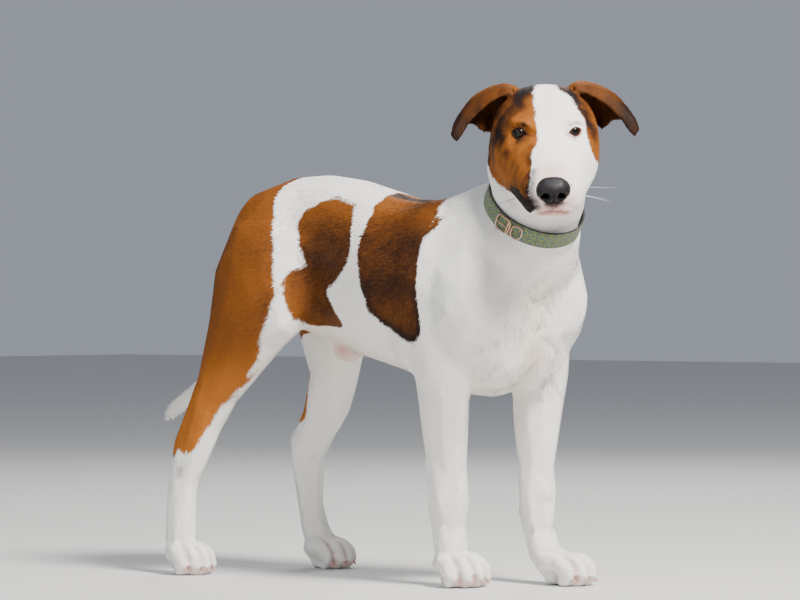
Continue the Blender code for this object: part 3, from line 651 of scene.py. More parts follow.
def rust_depths(points, on_face, ears):
    """Depth in the rust over the whole dog, and in the mask of the head alone."""
    x, y, z = points.T
    right, left = deepest(x, z, RIGHT_PATCHES), deepest(x, z, LEFT_PATCHES)
    sliver = deepest(x, z, {"sliver": RIGHT_PATCHES["sliver"]})
    right = np.maximum(right, 2.0 * sliver + 0.002)
    side = ramp(y, -0.01, 0.022)
    low = ramp(0.345 - z, 0.0, 0.03)
    right = right * (1.0 - low) + np.minimum(right, -0.082 - y) * low
    left = left * (1.0 - low) + np.minimum(left, y - 0.086) * low
    rust = right * (1.0 - side) + left * side
    tail_end = (x < -0.27) & (np.abs(y - BODY_MIDDLE) < 0.045) & (z < 0.335)
    rust = np.where(tail_end, -0.01, rust)
    p, l, q = in_frame(points, SKULL, HEAD_AXES).T
    round_skull = SLEEVE * np.arctan2(l, q + 0.03)
    mask = np.maximum(inside_depth(p, round_skull, on_sleeve(MASK)),
                      inside_depth(p, round_skull, on_sleeve(LEFT_EAR_PATCH)))
    mask = np.where(ears, 0.02, np.minimum(mask, on_face + 0.004))
    near_head = (head_reach(points) < 0.12) | ears
    rust = np.where(near_head & (on_face > -0.02), mask, rust)
    wobble = 0.002 * ripple(points, 0.014, 3) + 0.0008 * ripple(points, 0.005, 4)
    return np.where(z < WHITE_BELOW, -0.05, rust) + wobble, mask

print("legs are white below", WHITE_BELOW, "m")

# %% [markdown]
# Rust is never one tone.  Over the back the hairs have black tips, most along the spine and
# near the borders, and towards the thighs the tan is bright.  On the head the crown, the cheeks
# and the upper lips are dark, and the ears darken to their tips; along the fold of each ear a
# painted highlight eases the dark, where light falls on the fold.

# %% How dark the rust is
CROWN = [
    (1, 15, [(-10, -17, 51), (8, -27, 48), (23, -41, 37), (27, -55, 22), (33, -64, 6)]),
    (1, 13, [(0, 30, 48), (22, 42, 38), (34, 54, 22), (40, 60, 4)]),
]
BEHIND_EYE = [(0.9, 12, [(30, -62, 12), (26, -68, -12), (30, -70, -30)])]
FACE_SPOTS = [
    (0.75, 5, [(60, -31, 28)]), (0.5, 8, [(71, -53, -5)]),
    (0.3, 10, [(52, -60, 4)]), (0.25, 22, [(110, -40, -30)]),
]
FLEWS = [
    (1, 7.5, [(112, -49, -46), (138, -42, -38), (156, -36, -43), (163, -28, -48)]),
    (1, 10, [(64, -44, -68), (71, -34, -81), (76, -22, -91)]),
]
# the fold along the top of each ear, where a painted highlight eases the dark
LIT_EAR_FOLD = in_metres([(-24, 34, 46), (-38, 63, 44.5), (-26, 94, 32), (-1, 117.5, 8.5)])

def body_tan(points, rust):
    """How sable and how bright the tan is on the body."""
    x, y, z = points.T
    streak = ripple(points * np.array([0.35, 1.0, 0.6]), 0.022, 8)
    top = 0.49 + 0.01 * ramp(x, 0.0, 0.03)
    sable = 0.31 + 0.38 * ramp(top - z, -0.02, 0.08) * ramp(x, -0.12, -0.04) + 0.15 * streak
    sable -= 0.12 * ramp(-x, 0.11, 0.14)
    spine = band_at(y, 0.0, 0.017) * ramp(x, 0.015, 0.035) * ramp(z, 0.44, 0.47)
    sable = np.maximum(sable, 0.9 * spine)
    sable += 0.3 * band_at(rust, 0.002, 0.005) * ramp(x, 0.0, 0.05) * ramp(0.4 - z, -0.02, 0.05)
    sable -= 0.14 * ramp(0.4 - z, 0.0, 0.05) * ramp(x, -0.1, -0.08) * (1.0 - ramp(x, 0.0, 0.03))
    thigh = ramp(-x, 0.1, 0.13)
    sable -= 0.5 * ramp(0.31 - z, -0.02, 0.06) * thigh
    glow = ramp(0.3 - z, -0.02, 0.06) * thigh
    glow = np.maximum(glow, line_share(points, in_metres([(-93, -90, 398), (-88, -90, 345)]), 0.01))
    return sable, np.maximum(glow, 0.4 * ramp(z, 0.46, 0.52) * ramp(x, 0.02, 0.04))

def head_tan(points, mask, ears):
    """How sable and how bright the tan is on the face and the ears."""
    p, l, q = in_frame(points, SKULL, HEAD_AXES).T
    crown = strongest(points, CROWN)
    back = 1.0 - ramp(p, -0.006, 0.02)
    face = 0.3 + 0.5 * np.maximum(crown, strongest(points, BEHIND_EYE)) + 0.34 * back
    face += 0.2 * ripple(points, 0.012, 11)
    face += 0.75 * ramp(-q, 0.026, 0.05) * ramp(p, 0.085, 0.125) + 0.35 * ramp(p, 0.12, 0.155)
    face += 0.2 * band_at(mask, 0.002, 0.006) * ramp(p, 0.06, 0.11)
    face += soft_lines(points, FACE_SPOTS).sum(axis=0) + 1.3 * strongest(points, FLEWS)
    flap = ramp(np.abs(l), 0.072, 0.112)
    # the fold of each ear is painted lighter: a painted highlight where light falls on it
    fold = np.max([line_share(points, head_line(LIT_EAR_FOLD, s), 0.01) for s in (-1, 1)], axis=0)
    ear = 0.62 + 0.22 * flap - 0.28 * fold * (1.0 - flap) + 0.08 * ripple(points, 0.01, 15)
    glow = np.where(ears, 0.1 * (1.0 - flap), 0.42 * (1.0 - np.clip(crown + back, 0, 1)))
    return np.where(ears, ear, face), glow

print(len(CROWN + BEHIND_EYE + FACE_SPOTS + FLEWS), "dark lines and spots on the head")

# %% [markdown]
# White is not plain either.  Pink skin shows through thin hair on the muzzle, between the toes
# and under the belly; grey freckles stand by the nose and the eyes; the throat, the breast and
# the belly are cream, partly the coat's own tint and partly painted shade and warm bounced
# light, with painted shade under the chin.  Lids and lips have a bare dark rim.

# %% Pink, grey, cream with painted shade, and rims
PINK_HEAD = [
    (0.62, 24, [(150, 0, -2)]), (0.95, 24, [(166, 2, -38)]),
    (1, 6, [(165, -14, -51), (167, 0, -52), (163, 20, -52)]),
]
PINK_BODY = [
    (0.3, 35, [(200, -10, 290), (240, 30, 300)]),
    (0.95, 12, [(-58, -4, 308), (-50, -2, 306)]),
]
PINK_BELLY = [(0.4, 50, [(-100, 0, 300), (-50, 0, 290)])]
GREY_HEAD = [
    (0.8, 6.5, [(140, -22, -4), (156, -25, -14), (165, -26, -28), (168, -20, -40)]),
    (1, 4.2, [(170, -8, -35), (171, 2, -38), (170, 11, -34)]),
    (1, 2.4, [(170, -1, -44.5)]), (1, 1.8, [(169, 10, -45.5)]), (1, 1.6, [(167, 18, -46)]),
    (1, 1.6, [(169, -6, -44)]), (1, 2.0, [(157, -24, -12)]), (1, 1.4, [(160, 24, -14)]),
    (1, 2.2, [(52, -52, 11), (47, -56, 10)]), (1, 2.0, [(73, -24, 17), (81, -21, 14)]),
]
GREY_BODY = [(0.75, 7, [(-255, -117, 147), (-258, -117, 138)])]
# cream and shade: the coat's own cream tint mixed with painted shade under the chin and painted warm
# bounced light on throat, breast and belly
CREAM_AND_SHADE_HEAD = [(0.9, 30, [(145, -12, -66), (120, -10, -82), (70, 0, -100)])]
CREAM_AND_SHADE_BODY = [
    (0.8, 40, [(275, 8, 380), (262, 8, 300), (220, 0, 270)]),
    (0.8, 75, [(150, 5, 250), (0, 5, 270), (-120, 5, 300)]),
]
EYE_RIMS = {"right": 0.005, "left": 0.0018}

def markings(points):
    """The seven numbers for each place."""
    on_face = ahead_of(points, HEAD_PLANE)
    ears = ear_share(points) > 0.5
    rust, mask = rust_depths(points, on_face, ears)
    trunk = 1.0 - ramp(on_face, -0.05, -0.02)
    on_skull = ramp(on_face, -0.02, 0.0)
    head, body = head_tan(points, mask, ears), body_tan(points, rust)
    sable, glow = (np.where(on_skull > 0.5, a, trunk * b) for a, b in zip(head, body))

    pink = strongest(points, PINK_HEAD) * on_skull
    for line in toe_clefts:
        pink = np.maximum(pink, 0.8 * line_share(points, line[:3], 0.0064))
    pink = np.maximum(pink, strongest(points, PINK_BODY, False))
    belly = ramp(0.36 - points[:, 2], 0.0, 0.05)
    pink = np.maximum(pink, strongest(points, PINK_BELLY, False) * belly)
    grey = np.maximum(strongest(points, GREY_HEAD) * on_skull, strongest(points, GREY_BODY, False))
    # the cream is partly the coat's own tint and partly painted shade and bounced light
    cream_and_shade = np.maximum(strongest(points, CREAM_AND_SHADE_HEAD) * on_skull, strongest(points, CREAM_AND_SHADE_BODY, False))
    cream_and_shade *= 0.75 + 0.25 * ripple(points, 0.03, 21)
    rim = np.zeros(len(points))
    for eye, wide in EYE_RIMS.items():
        gap, radius = lid_distance(points, eye)
        rim = np.maximum(rim, (radius < 0.022) * (1.0 - ramp(gap, 0.3 * wide, wide)))
    for s in (-1, 1):
        rim = np.maximum(rim, 0.9 * line_share(points, head_line(LIPS, s), 0.0016))
    shares = {"sable": sable, "glow": glow, "pink": pink, "grey": grey, "cream_and_shade": cream_and_shade}
    shares = {name: np.clip(share, 0, 1) for name, share in shares.items()}
    return {"rust": rust, "rim": rim, **shares}

print(len(PINK_HEAD + PINK_BODY + PINK_BELLY), "pink,", len(GREY_HEAD + GREY_BODY), "grey and",
      len(CREAM_AND_SHADE_HEAD + CREAM_AND_SHADE_BODY), "cream marks")

# %% [markdown]
# The numbers are kept on the points of a piece, each under its name, where its material can
# read them.  The skin gets them now, and every tuft of the coat later.

# %% The skin gets its marks
def give(piece, name, values, kind="FLOAT"):
    """Gives every point of a piece a number, or a direction, under a name."""
    layer = piece.data.attributes.new(name, kind, "POINT")
    layer.data.foreach_set("value" if kind == "FLOAT" else "vector", np.asarray(values, np.float32).ravel())

places = points_of(skin)
marks = markings(places)
for name, values in marks.items():
    give(skin, name, values)
print("rust on", round(100 * float((marks["rust"] > 0).mean())), "percent of the skin's points")

# %% [markdown]
# The hair lies in currents: back from the nose over the skull, down the neck, back along the
# spine, down the legs.  Each current is a short arrow with a reach, and a place takes the
# blend of the arrows near it, laid flat on the skin.

# %% The lie of the coat
# each current: from, to, and reach, in millimetres
BODY_CURRENTS = [
    ((100, 0, 530), (-280, 0, 520), 90), ((-250, 0, 520), (-330, 0, 400), 70),
    ((260, 10, 580), (150, 0, 500), 80), ((300, 0, 500), (270, 8, 400), 60),
    ((270, 8, 440), (262, 8, 300), 60), ((240, 0, 300), (100, 0, 260), 60),
    ((100, 0, 270), (-140, 0, 310), 60),
]
for y in (-90, 110):
    BODY_CURRENTS += [
        ((220, y * 0.6, 500), (120, y, 400), 70), ((100, y, 440), (-100, y, 410), 80),
        ((100, y, 360), (-100, y * 0.9, 335), 60), ((160, y, 420), (170, y * 0.9, 280), 60),
        ((-80, y, 460), (-200, y * 1.1, 380), 70), ((-150, y, 420), (-220, y * 1.1, 250), 70),
    ]
HEAD_CURRENTS = [
    ((150, 0, 0), (70, 0, 35), 35), ((70, 0, 35), (-50, 0, 55), 45),
    ((150, 0, -70), (30, 0, -90), 30), ((-50, 0, 50), (-90, 0, 0), 50),
]
for s in (-1, 1):
    HEAD_CURRENTS += [
        ((160, s * 20, -30), (80, s * 50, -40), 30), ((70, s * 30, 0), (40, s * 60, -20), 25),
        ((55, s * 30, 40), (0, s * 50, 40), 30), ((40, s * 60, -30), (-30, s * 65, -60), 45),
        ((-20, s * 50, 45), (-28, s * 85, 38), 22), ((-28, s * 85, 38), (12, s * 120, -6), 24),
        ((0, s * 50, 40), (0, s * 110, 0), 20),
    ]
currents = [(*in_metres([a, b]), reach / 1000) for a, b, reach in BODY_CURRENTS]
for foot, heading in PAW_HEADING.items():
    paw = middle_of(foot + "_paw")
    toes = turned(heading, "Z") @ Vector((0.05, 0, -0.02))
    high = 0.26 if "fore" in foot else 0.2
    currents.append((paw + Vector((-0.02, 0, high)), paw + Vector((-0.02, 0, 0.03)), 0.07))
    currents.append((paw + Vector((0, 0, 0.01)), paw + toes, 0.04))
currents += [(*head_line(in_metres([a, b])), reach / 1000) for a, b, reach in HEAD_CURRENTS]
tail_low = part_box("tail")[0]
currents.append((Vector((-0.3, 0.01, 0.42)), Vector((-0.36, 0.01, 0.3)), 0.035))
currents.append((Vector((-0.355, 0.01, 0.3)), Vector((tail_low.x, 0.01, tail_low.z)), 0.045))

def lie_of_hair(points, normals):
    """The way the hair points, laid flat on the skin."""
    way = np.zeros_like(points)
    for a, b, reach in currents:
        gap = along_segment(points, a, b)[0]
        arrow = np.array(b, float) - np.array(a, float)
        arrow /= np.linalg.norm(arrow)
        way += (np.exp(-(gap / reach) ** 2) + 1e-5 / (0.01 + gap))[:, None] * arrow
    wave = np.stack([ripple(points, 0.05, seed) for seed in (21, 22, 23)], axis=1)
    way = way / np.maximum(length_of(way), 1e-9)[:, None] + 0.22 * wave
    way -= normals * (way * normals).sum(axis=1)[:, None]
    return way / np.maximum(length_of(way), 1e-6)[:, None]

normals = normals_of(skin)
give(skin, "lie", lie_of_hair(places, normals), "FLOAT_VECTOR")
print(len(currents), "currents of hair")

# %% [markdown]
# Materials are written as sums.  A Value wraps one outlet of a node, and adding, multiplying
# or comparing Values adds the Math nodes.

# %% Writing a material as a sum
class Value:
    """One outlet of a node, to be added, multiplied and compared."""
    def __init__(self, finish, socket):
        self.finish, self.socket = finish, socket

    def math(self, operation, other=0.0, clamp=False):
        settings = {"operation": operation, "use_clamp": clamp}
        return self.finish.node("ShaderNodeMath", settings, {0: self, 1: other})

    def __add__(self, other):
        return self.math("ADD", other)

    def __sub__(self, other):
        return self.math("SUBTRACT", other)

    def __mul__(self, other):
        return self.math("MULTIPLY", other)

    def __truediv__(self, other):
        return self.math("DIVIDE", other)

    def __rsub__(self, other):
        return self.finish.node("ShaderNodeMath", {"operation": "SUBTRACT"}, {0: other, 1: self})

    __radd__ = __add__
    __rmul__ = __mul__

    def clamp(self):
        return self.math("ADD", 0.0, clamp=True)

    def between(self, low, high):
        """0 below low, 1 above high."""
        return ((self - low) * (1.0 / (high - low))).clamp()

print("sums can be written")

# %% [markdown]
# A Finish is one material.  Its node method makes any other node, with its settings set first
# and then its sockets; the short methods under it make the few nodes that every finish of the
# dog is built from: marks on the points, noise, mixes and bumps.

# %% One material
class Finish:
    """One material, with a Principled shader."""
    def __init__(self, name, **fixed):
        self.material = bpy.data.materials.new(name)
        self.material.use_nodes = True
        self.tree = self.material.node_tree
        self.shader = self.tree.nodes["Principled BSDF"]
        for socket, value in fixed.items():
            self.shader.inputs[self.label(socket)].default_value = value

    def node(self, kind, settings=None, inputs=None, out=0):
        made = self.tree.nodes.new(kind)
        for setting, value in (settings or {}).items():
            setattr(made, setting, value)
        for socket, value in (inputs or {}).items():
            self.feed(made.inputs[socket], value)
        return Value(self, made.outputs[out])

    def feed(self, socket, value):
        if isinstance(value, Value):
            self.tree.links.new(value.socket, socket)
        elif isinstance(value, tuple) and len(value) == 3 and socket.type == "RGBA":
            socket.default_value = (*value, 1.0)
        else:
            socket.default_value = value

    def attribute(self, name, out=2):
        return self.node("ShaderNodeAttribute", {"attribute_name": name}, out=out)

    def place(self, stretch=(1.0, 1.0, 1.0)):
        """The piece's own coordinates, stretched."""
        coordinates = self.node("ShaderNodeTexCoord", out="Object")
        return self.node("ShaderNodeMapping", inputs={"Vector": coordinates, "Scale": stretch})

    def parts(self, vector):
        """The three numbers of a vector."""
        made = self.node("ShaderNodeSeparateXYZ", inputs={0: vector})
        return [Value(self, outlet) for outlet in made.socket.node.outputs]

    def noise(self, size, where, detail=3.0):
        """Noise whose grains are about size metres across."""
        inputs = {"Vector": where, "Scale": 1.0 / size, "Detail": detail, "Roughness": 0.55}
        return self.node("ShaderNodeTexNoise", inputs=inputs)

    def mix(self, share, a, b):
        return self.node("ShaderNodeMix", {"data_type": "RGBA"}, {0: share, 6: a, 7: b}, out=2)

    def bump(self, height, depth, strength, under=None):
        inputs = {"Height": height, "Distance": depth, "Strength": strength}
        if under:
            inputs["Normal"] = under
        return self.node("ShaderNodeBump", inputs=inputs)

    def done(self, **surface):
        for socket, value in surface.items():
            self.feed(self.shader.inputs[self.label(socket)], value)
        return self.material

    def label(self, socket):
        return socket.replace("_", " ").title().replace("Ior", "IOR")

print("finishes can be made")

# %% [markdown]
# Skin and coat share their colours.  White is warm, creamy at the throat and the belly, where the
# cream is partly painted shade and warm bounced light, and greyed in places; rust runs from bright
# tan to a dark black-tipped brown; thin-haired places let pink skin through.  On the skin, fine
# streaks run along the lie of the hair.

# %% Colours of the coat
SABLE = (0.02, 0.008, 0.004)

def coat_colour(finish, ticking, lightness):
    """Ticking breaks the borders up into single hairs; lightness varies white and tan."""
    rust, sable, glow, pink, grey, rim = (
        finish.attribute(name) for name in ("rust", "sable", "glow", "pink", "grey", "rim"))
    white = finish.mix(lightness, (0.8, 0.775, 0.73), (0.91, 0.9, 0.87))
    # cream mixed with painted shade and warm bounced light, on throat, breast and belly
    white = finish.mix(finish.attribute("cream_and_shade") * 0.85, white, (0.74, 0.64, 0.48))
    white = finish.mix(pink * 0.92, white, (0.64, 0.29, 0.25))
    greyed = (grey + ticking * 0.9 - 0.25).between(0.3, 0.45) * grey
    white = finish.mix(greyed, white, (0.05, 0.045, 0.05))
    tan = finish.mix(glow, (0.175, 0.052, 0.008), (0.43, 0.135, 0.018))
    tan = finish.mix(lightness * 0.25, tan, (0.3, 0.1, 0.012))
    tipped = (sable + ticking * 0.44 - 0.22).between(0.22, 0.8) * 0.92
    tan = finish.mix(tipped, tan, SABLE)
    tan = finish.mix(sable.between(0.72, 0.98), tan, (0.012, 0.008, 0.008))
    in_rust = (rust + ticking * 0.004 - 0.002).between(-0.0012, 0.0012)
    colour = finish.mix(in_rust, white, tan)
    dark_rim = finish.mix(rust.between(-0.004, 0.004), (0.22, 0.075, 0.062), (0.008, 0.006, 0.006))
    return finish.mix(rim, colour, dark_rim)

def coat_roughness(finish, rough, less_on_rust):
    return rough - less_on_rust * finish.attribute("rust").between(-0.002, 0.002)

def skin_finish():
    finish = Finish("short_coat_skin", roughness=0.78, specular_ior_level=0.12)
    streaks = 0.0
    for i, part in enumerate(finish.parts(finish.attribute("lie", out=1))):
        stretch = [1.0, 1.0, 1.0]
        stretch[i] = 0.14
        grain = finish.noise(0.0016, finish.place(tuple(stretch)), detail=2.0)
        streaks = part * part * grain + streaks
    cloud = finish.noise(0.03, finish.place(), detail=3.0)
    lightness = (streaks - 0.5) * 1.1 + (cloud - 0.5) * 0.8 + 0.62
    colour = coat_colour(finish, streaks.between(0.25, 0.75), lightness.clamp())
    normal = finish.bump(streaks, 0.0012, 0.55)
    normal = finish.bump(cloud, 0.0015, 0.35, under=normal)
    return finish.done(base_color=colour, normal=normal, roughness=coat_roughness(finish, 0.85, 0.15))

skin.data.materials.clear()
skin.data.materials.append(skin_finish())
for face in skin.data.polygons:
    face.material_index = 0
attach(skin, "root")
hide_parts(*FLESH, *EARS)
print("skin finished")

# %% [markdown]
# The coat is short, so a tuft is a flat spindle of six faces: a root, a wide middle with a
# ridge, and a tip.  Thousands of them overlap like thatch along the lie of the hair.  They
# are smallest on face, ears and feet and longest on the trunk.

# %% How the coat varies over the dog
def region_of(points):
    """The piece of coat that each place belongs to."""
    x, y, z = points.T
    head = in_frame(points, SKULL, HEAD_AXES)
    region = np.where(y < BODY_MIDDLE, "coat_right_side", "coat_left_side").astype(object)
    region[(x < -0.06) & (z < 0.4) & (np.abs(y) > 0.045)] = "coat_hind_legs"
    region[(x > 0.1) & (z < 0.26)] = "coat_fore_legs"
    region[(x < -0.24) & (np.abs(y - BODY_MIDDLE) < 0.04) & (z < 0.44)] = "coat_tail"
    region[(ahead_of(points, NECK_PLANE) > 0.0) & (z > 0.36)] = "coat_neck"
    face = (ahead_of(points, HEAD_PLANE) > 0.0) & (head_reach(points) < 0.14)
    region[face] = "coat_face"
    ear = face & (np.abs(head[:, 1]) > 0.05) & (head[:, 2] > -0.03)
    region[ear] = np.where(ear_share(points[ear]) > 0.5, "coat_ears", "coat_face")
    region[z < 0.052] = "coat_paws"
    return region

# piece: tufts, length, width, rise of the tip over the length
COATS = {
    "coat_face": (33000, 0.0044, 0.0007, 0.035), "coat_ears": (24000, 0.0032, 0.0006, 0.13),
    "coat_neck": (33000, 0.0098, 0.0012, 0.022), "coat_right_side": (33000, 0.0105, 0.0014, 0.022),
    "coat_left_side": (33000, 0.0105, 0.0014, 0.022), "coat_fore_legs": (30000, 0.0074, 0.001, 0.025),
    "coat_hind_legs": (32000, 0.0084, 0.0011, 0.025), "coat_paws": (23000, 0.0043, 0.0007, 0.05),
    "coat_tail": (8000, 0.0085, 0.001, 0.06),
}
skin.data.calc_loop_triangles()
corners = np.empty(len(skin.data.loop_triangles) * 3, np.int32)
skin.data.loop_triangles.foreach_get("vertices", corners)
corners = corners.reshape(-1, 3)
loops = np.empty(corners.size, np.int32)
skin.data.loop_triangles.foreach_get("loops", loops)
unwrap = np.empty(len(skin.data.loops) * 2)
skin.data.uv_layers["OFBake"].data.foreach_get("uv", unwrap)
unwrap = unwrap.reshape(-1, 2)[loops.reshape(-1, 3)]
places, normals = points_of(skin), normals_of(skin)
a, b, c = (places[corners[:, i]] for i in range(3))
areas = length_of(np.cross(b - a, c - a)) / 2
regions = region_of((a + b + c) / 3)
print("skin area", round(float(areas.sum()), 3), "m2")

# %% [markdown]
# Roots are scattered by area.  A tuft is left out where the skin carries no hair or is
# covered: on the nose leather, between the lids, under the collar and under the feet.

# %% Scattering the roots
def bare(roots):
    """True where a root would stand on bare or covered skin."""
    local = in_frame(roots, NOSE_MIDDLE, HEAD_AXES) / np.array(NOSE_SIZE)
    skip = (length_of(local) < 1.16) & (local[:, 0] > -0.5)
    for side in SIDES:
        gap, radius = lid_distance(roots, side)
        skip |= (gap < 0.0016) & (radius < 0.03)
    around = in_frame(roots, COLLAR_MIDDLE, COLLAR_AXES)
    near_neck = np.hypot(around[:, 0], around[:, 1]) < 0.08
    skip |= near_neck & (np.abs(around[:, 2] + 0.001) < COLLAR_WIDTH / 2)
    return skip | (roots[:, 2] < 0.0015)

def room_before_collar(roots, way):
    """How long a tuft may be before it would lie over the band."""
    around = in_frame(roots, COLLAR_MIDDLE, COLLAR_AXES)
    speed = in_frame(way, (0, 0, 0), COLLAR_AXES)[:, 2]
    above = around[:, 2] - COLLAR_WIDTH / 2
    near_neck = np.hypot(around[:, 0], around[:, 1]) < 0.09
    close = near_neck & (above > -0.001) & (above < 0.03) & (speed < -0.05)
    return np.where(close, np.maximum(above / np.maximum(-speed, 0.05), 0.0) + 0.0025, 1.0)

def scattered(name, count):
    """Roots, normals and places on the map for one piece of coat."""
    own = np.flatnonzero(regions == name)
    weight = areas[own] / areas[own].sum()
    chosen = own[np.searchsorted(np.cumsum(weight), chance.random(count) * 0.999999)]
    u, v = chance.random((2, count))
    fold = u + v > 1
    u[fold], v[fold] = 1 - u[fold], 1 - v[fold]
    share = np.stack([1 - u - v, u, v], axis=1)
    roots = (places[corners[chosen]] * share[:, :, None]).sum(axis=1)
    up = (normals[corners[chosen]] * share[:, :, None]).sum(axis=1)
    up /= length_of(up)[:, None]
    on_map = (unwrap[chosen] * share[:, :, None]).sum(axis=1)
    kept = ~bare(roots)
    return roots[kept], up[kept], on_map[kept]

print("roots can be scattered over", len(COATS), "pieces of coat")

# %% [markdown]
# Lengths swell and shrink in soft waves, so the tufts gather into locks.  The hair is longer
# along the belly and towards the tip of the tail, and shorter on the muzzle and towards the
# head.

# %% How long each tuft is
def hair_length(name, roots, base):
    """The length of each tuft, longer or shorter over the body."""
    x, y, z = roots.T
    size = base * (1.0 + 0.22 * ripple(roots, 0.03, 31) + 0.18 * chance.normal(size=len(roots)))
    if name == "coat_tail":
        size *= 1.0 + 0.5 * ramp(0.3 - z, 0.0, 0.08)
    if name in ("coat_left_side", "coat_right_side"):
        size *= 1.0 + 0.35 * ramp(0.33 - z, 0.0, 0.05)
    if name == "coat_neck":
        size *= 1.0 - 0.4 * ramp(ahead_of(roots, HEAD_PLANE), -0.1, 0.0)
    if name == "coat_face":
        forward = in_frame(roots, SKULL, HEAD_AXES)[:, 0]
        size *= 1.25 - 0.55 * ramp(forward, 0.0, 0.12)
    return np.clip(size, base * 0.5, base * 2.4)

print("longest base length", max(values[1] for values in COATS.values()), "m")

# %% [markdown]
# Over a hollow or a ridge a straight tuft would stand off the dog or run into it.  So its
# middle and its tip are brought to the nearest skin, unless that skin faces another way, as
# across a fold, or lies too far off.

# %% Laying tufts down
tree = skin_tree(skin)

def laid_down(spots, lift, most, facing):
    """Spots brought down onto the skin and lifted off it, where that moves them less than most."""
    down = np.empty_like(spots)
    for i, (spot, height) in enumerate(zip(spots.tolist(), lift.tolist())):
        place, normal = tree.find_nearest(spot)[:2]
        down[i] = place + normal * height if normal.dot(facing[i]) > 0.3 else spot
    return np.where(length_of(down - spots)[:, None] < most, down, spots)

print("tufts can be laid down")

# %% [markdown]
# Thousands of tufts would be slow to make one at a time, so all the corners of a piece of coat
# are worked out together and given to its mesh in one go.  A tuft takes the marks of its root,
# and partly those of its tip, so that borders look combed.  It is shaded mostly as the skin
# under it, which keeps the short coat sleek; only the tail's tufts are shaded by themselves.

# %% One piece of coat
# a spindle's points: root, left and right of the middle, its ridge, tip
FACES = np.array([(0, 3, 1), (0, 2, 3), (0, 1, 2), (4, 1, 3), (4, 3, 2), (4, 2, 1)])
ALONG = [0.0, 0.45, 0.45, 0.5, 1.0]
TIP_COLOUR = np.array([0.0, 0.35, 0.35, 0.35, 0.75])
SHADE_OF_SKIN = 0.86
STRAY = 0.16
ROOT_IN, LOWEST = 0.0004, 0.0004
MIDDLE_AT, MIDDLE_RISE, TIP_RISE, TIP_RISE_LAID, RIDGE = 0.45, 0.62, 0.8, 0.7, 0.09
PATCH = np.array([(-1.0, 0.0), (0.0, 1.0), (0.0, -1.0), (0.0, 0.0), (1.0, 0.0)]) * 0.0015

def coat_piece(name, count, length, width, rise):
    roots, up, on_map = scattered(name, count)
    amount = len(roots)
    way = lie_of_hair(roots, up) + STRAY * chance.normal(size=(amount, 3))
    way -= up * (way * up).sum(axis=1)[:, None]
    way /= length_of(way)[:, None]
    side = np.cross(up, way)
    long = np.minimum(hair_length(name, roots, length), room_before_collar(roots, way))[:, None]
    broad = (width * chance.uniform(0.7, 1.3, amount))[:, None]
    lift = (rise * chance.uniform(0.6, 1.5, amount))[:, None]
    middle = roots + way * long * MIDDLE_AT + up * long * lift * MIDDLE_RISE
    tip = roots + way * long + up * long * lift * TIP_RISE
    if name != "coat_tail":
        facing = [Vector(way_up) for way_up in up.tolist()]
        middle = laid_down(middle, (long * lift)[:, 0] * MIDDLE_RISE, long * MIDDLE_AT, facing)
        tip = laid_down(tip, (long * lift)[:, 0] * TIP_RISE_LAID, long * 0.7, facing)
    spindle = np.stack([roots - up * ROOT_IN, middle + side * broad / 2, middle - side * broad / 2,
                        middle + up * broad * RIDGE, tip], axis=1)
    spindle[:, :, 2] = np.maximum(spindle[:, :, 2], LOWEST)
    mesh = bpy.data.meshes.new(name)
    faces = (FACES[None] + 5 * np.arange(amount)[:, None, None]).reshape(-1, 3)
    mesh.vertices.add(5 * amount)
    mesh.vertices.foreach_set("co", spindle.astype(np.float32).ravel())
    mesh.loops.add(faces.size)
    mesh.loops.foreach_set("vertex_index", faces.astype(np.int32).ravel())
    mesh.polygons.add(len(faces))
    mesh.polygons.foreach_set("loop_start", np.arange(0, faces.size, 3, dtype=np.int32))
    mesh.polygons.foreach_set("loop_total", np.full(len(faces), 3, np.int32))
    mesh.update()
    mesh.shade_smooth()
    patches = (on_map[:, None, :] + PATCH[None]).reshape(-1, 2)
    patches = patches[faces.ravel()].astype(np.float32).ravel()
    mesh.uv_layers.new(name="OFBake").data.foreach_set("uv", patches)
    piece = bpy.data.objects.new(name, mesh)
    bpy.context.collection.objects.link(piece)
    shade = np.repeat(up, 5, axis=0) * SHADE_OF_SKIN + normals_of(piece) * (1.0 - SHADE_OF_SKIN)
    if name == "coat_tail":
        mesh.shade_flat()
    else:
        mesh.normals_split_custom_set_from_vertices(shade / length_of(shade)[:, None])
    at_tip = markings(tip)
    reach = TIP_COLOUR * (name not in ("coat_ears", "coat_tail"))
    for key, values in markings(roots).items():
        give(piece, key, values[:, None] * (1.0 - reach) + at_tip[key][:, None] * reach)
    spread = 0.08 if name == "coat_ears" else 0.22
    tone = 0.5 + spread * chance.normal(size=amount) + 0.16 * ripple(roots, 0.02, 35)
    give(piece, "tone", np.repeat(np.clip(tone, 0, 1), 5))
    # along: how far along its tuft each point lies; the finish uses it for painted shade at the root
    give(piece, "along", np.tile(ALONG, amount))
    piece.data.materials.append(coat_material)
    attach(piece, "root")
    return piece

print(len(FACES), "faces in a tuft")

# %% [markdown]
# The tufts' finish is the skin's, with a tone for each tuft in place of the skin's streaks, and
# painted shade that darkens each tuft towards its root, so the tip is paler.  Then the nine
# pieces of coat are made, one after another.

# %% All of the coat
def tuft_finish():
    finish = Finish("short_coat_tufts", roughness=0.7, specular_ior_level=0.12)
    tone, along = finish.attribute("tone"), finish.attribute("along")
    # painted shade: each tuft is painted darker towards its root and lighter at its tip
    colour = coat_colour(finish, tone, (0.35 + tone * 0.3 + along * 0.3).clamp())
    hair = finish.noise(0.0006, finish.place(), detail=1.0)
    return finish.done(base_color=colour, normal=finish.bump(hair, 0.0003, 0.3),
                       roughness=coat_roughness(finish, 0.8, 0.18))

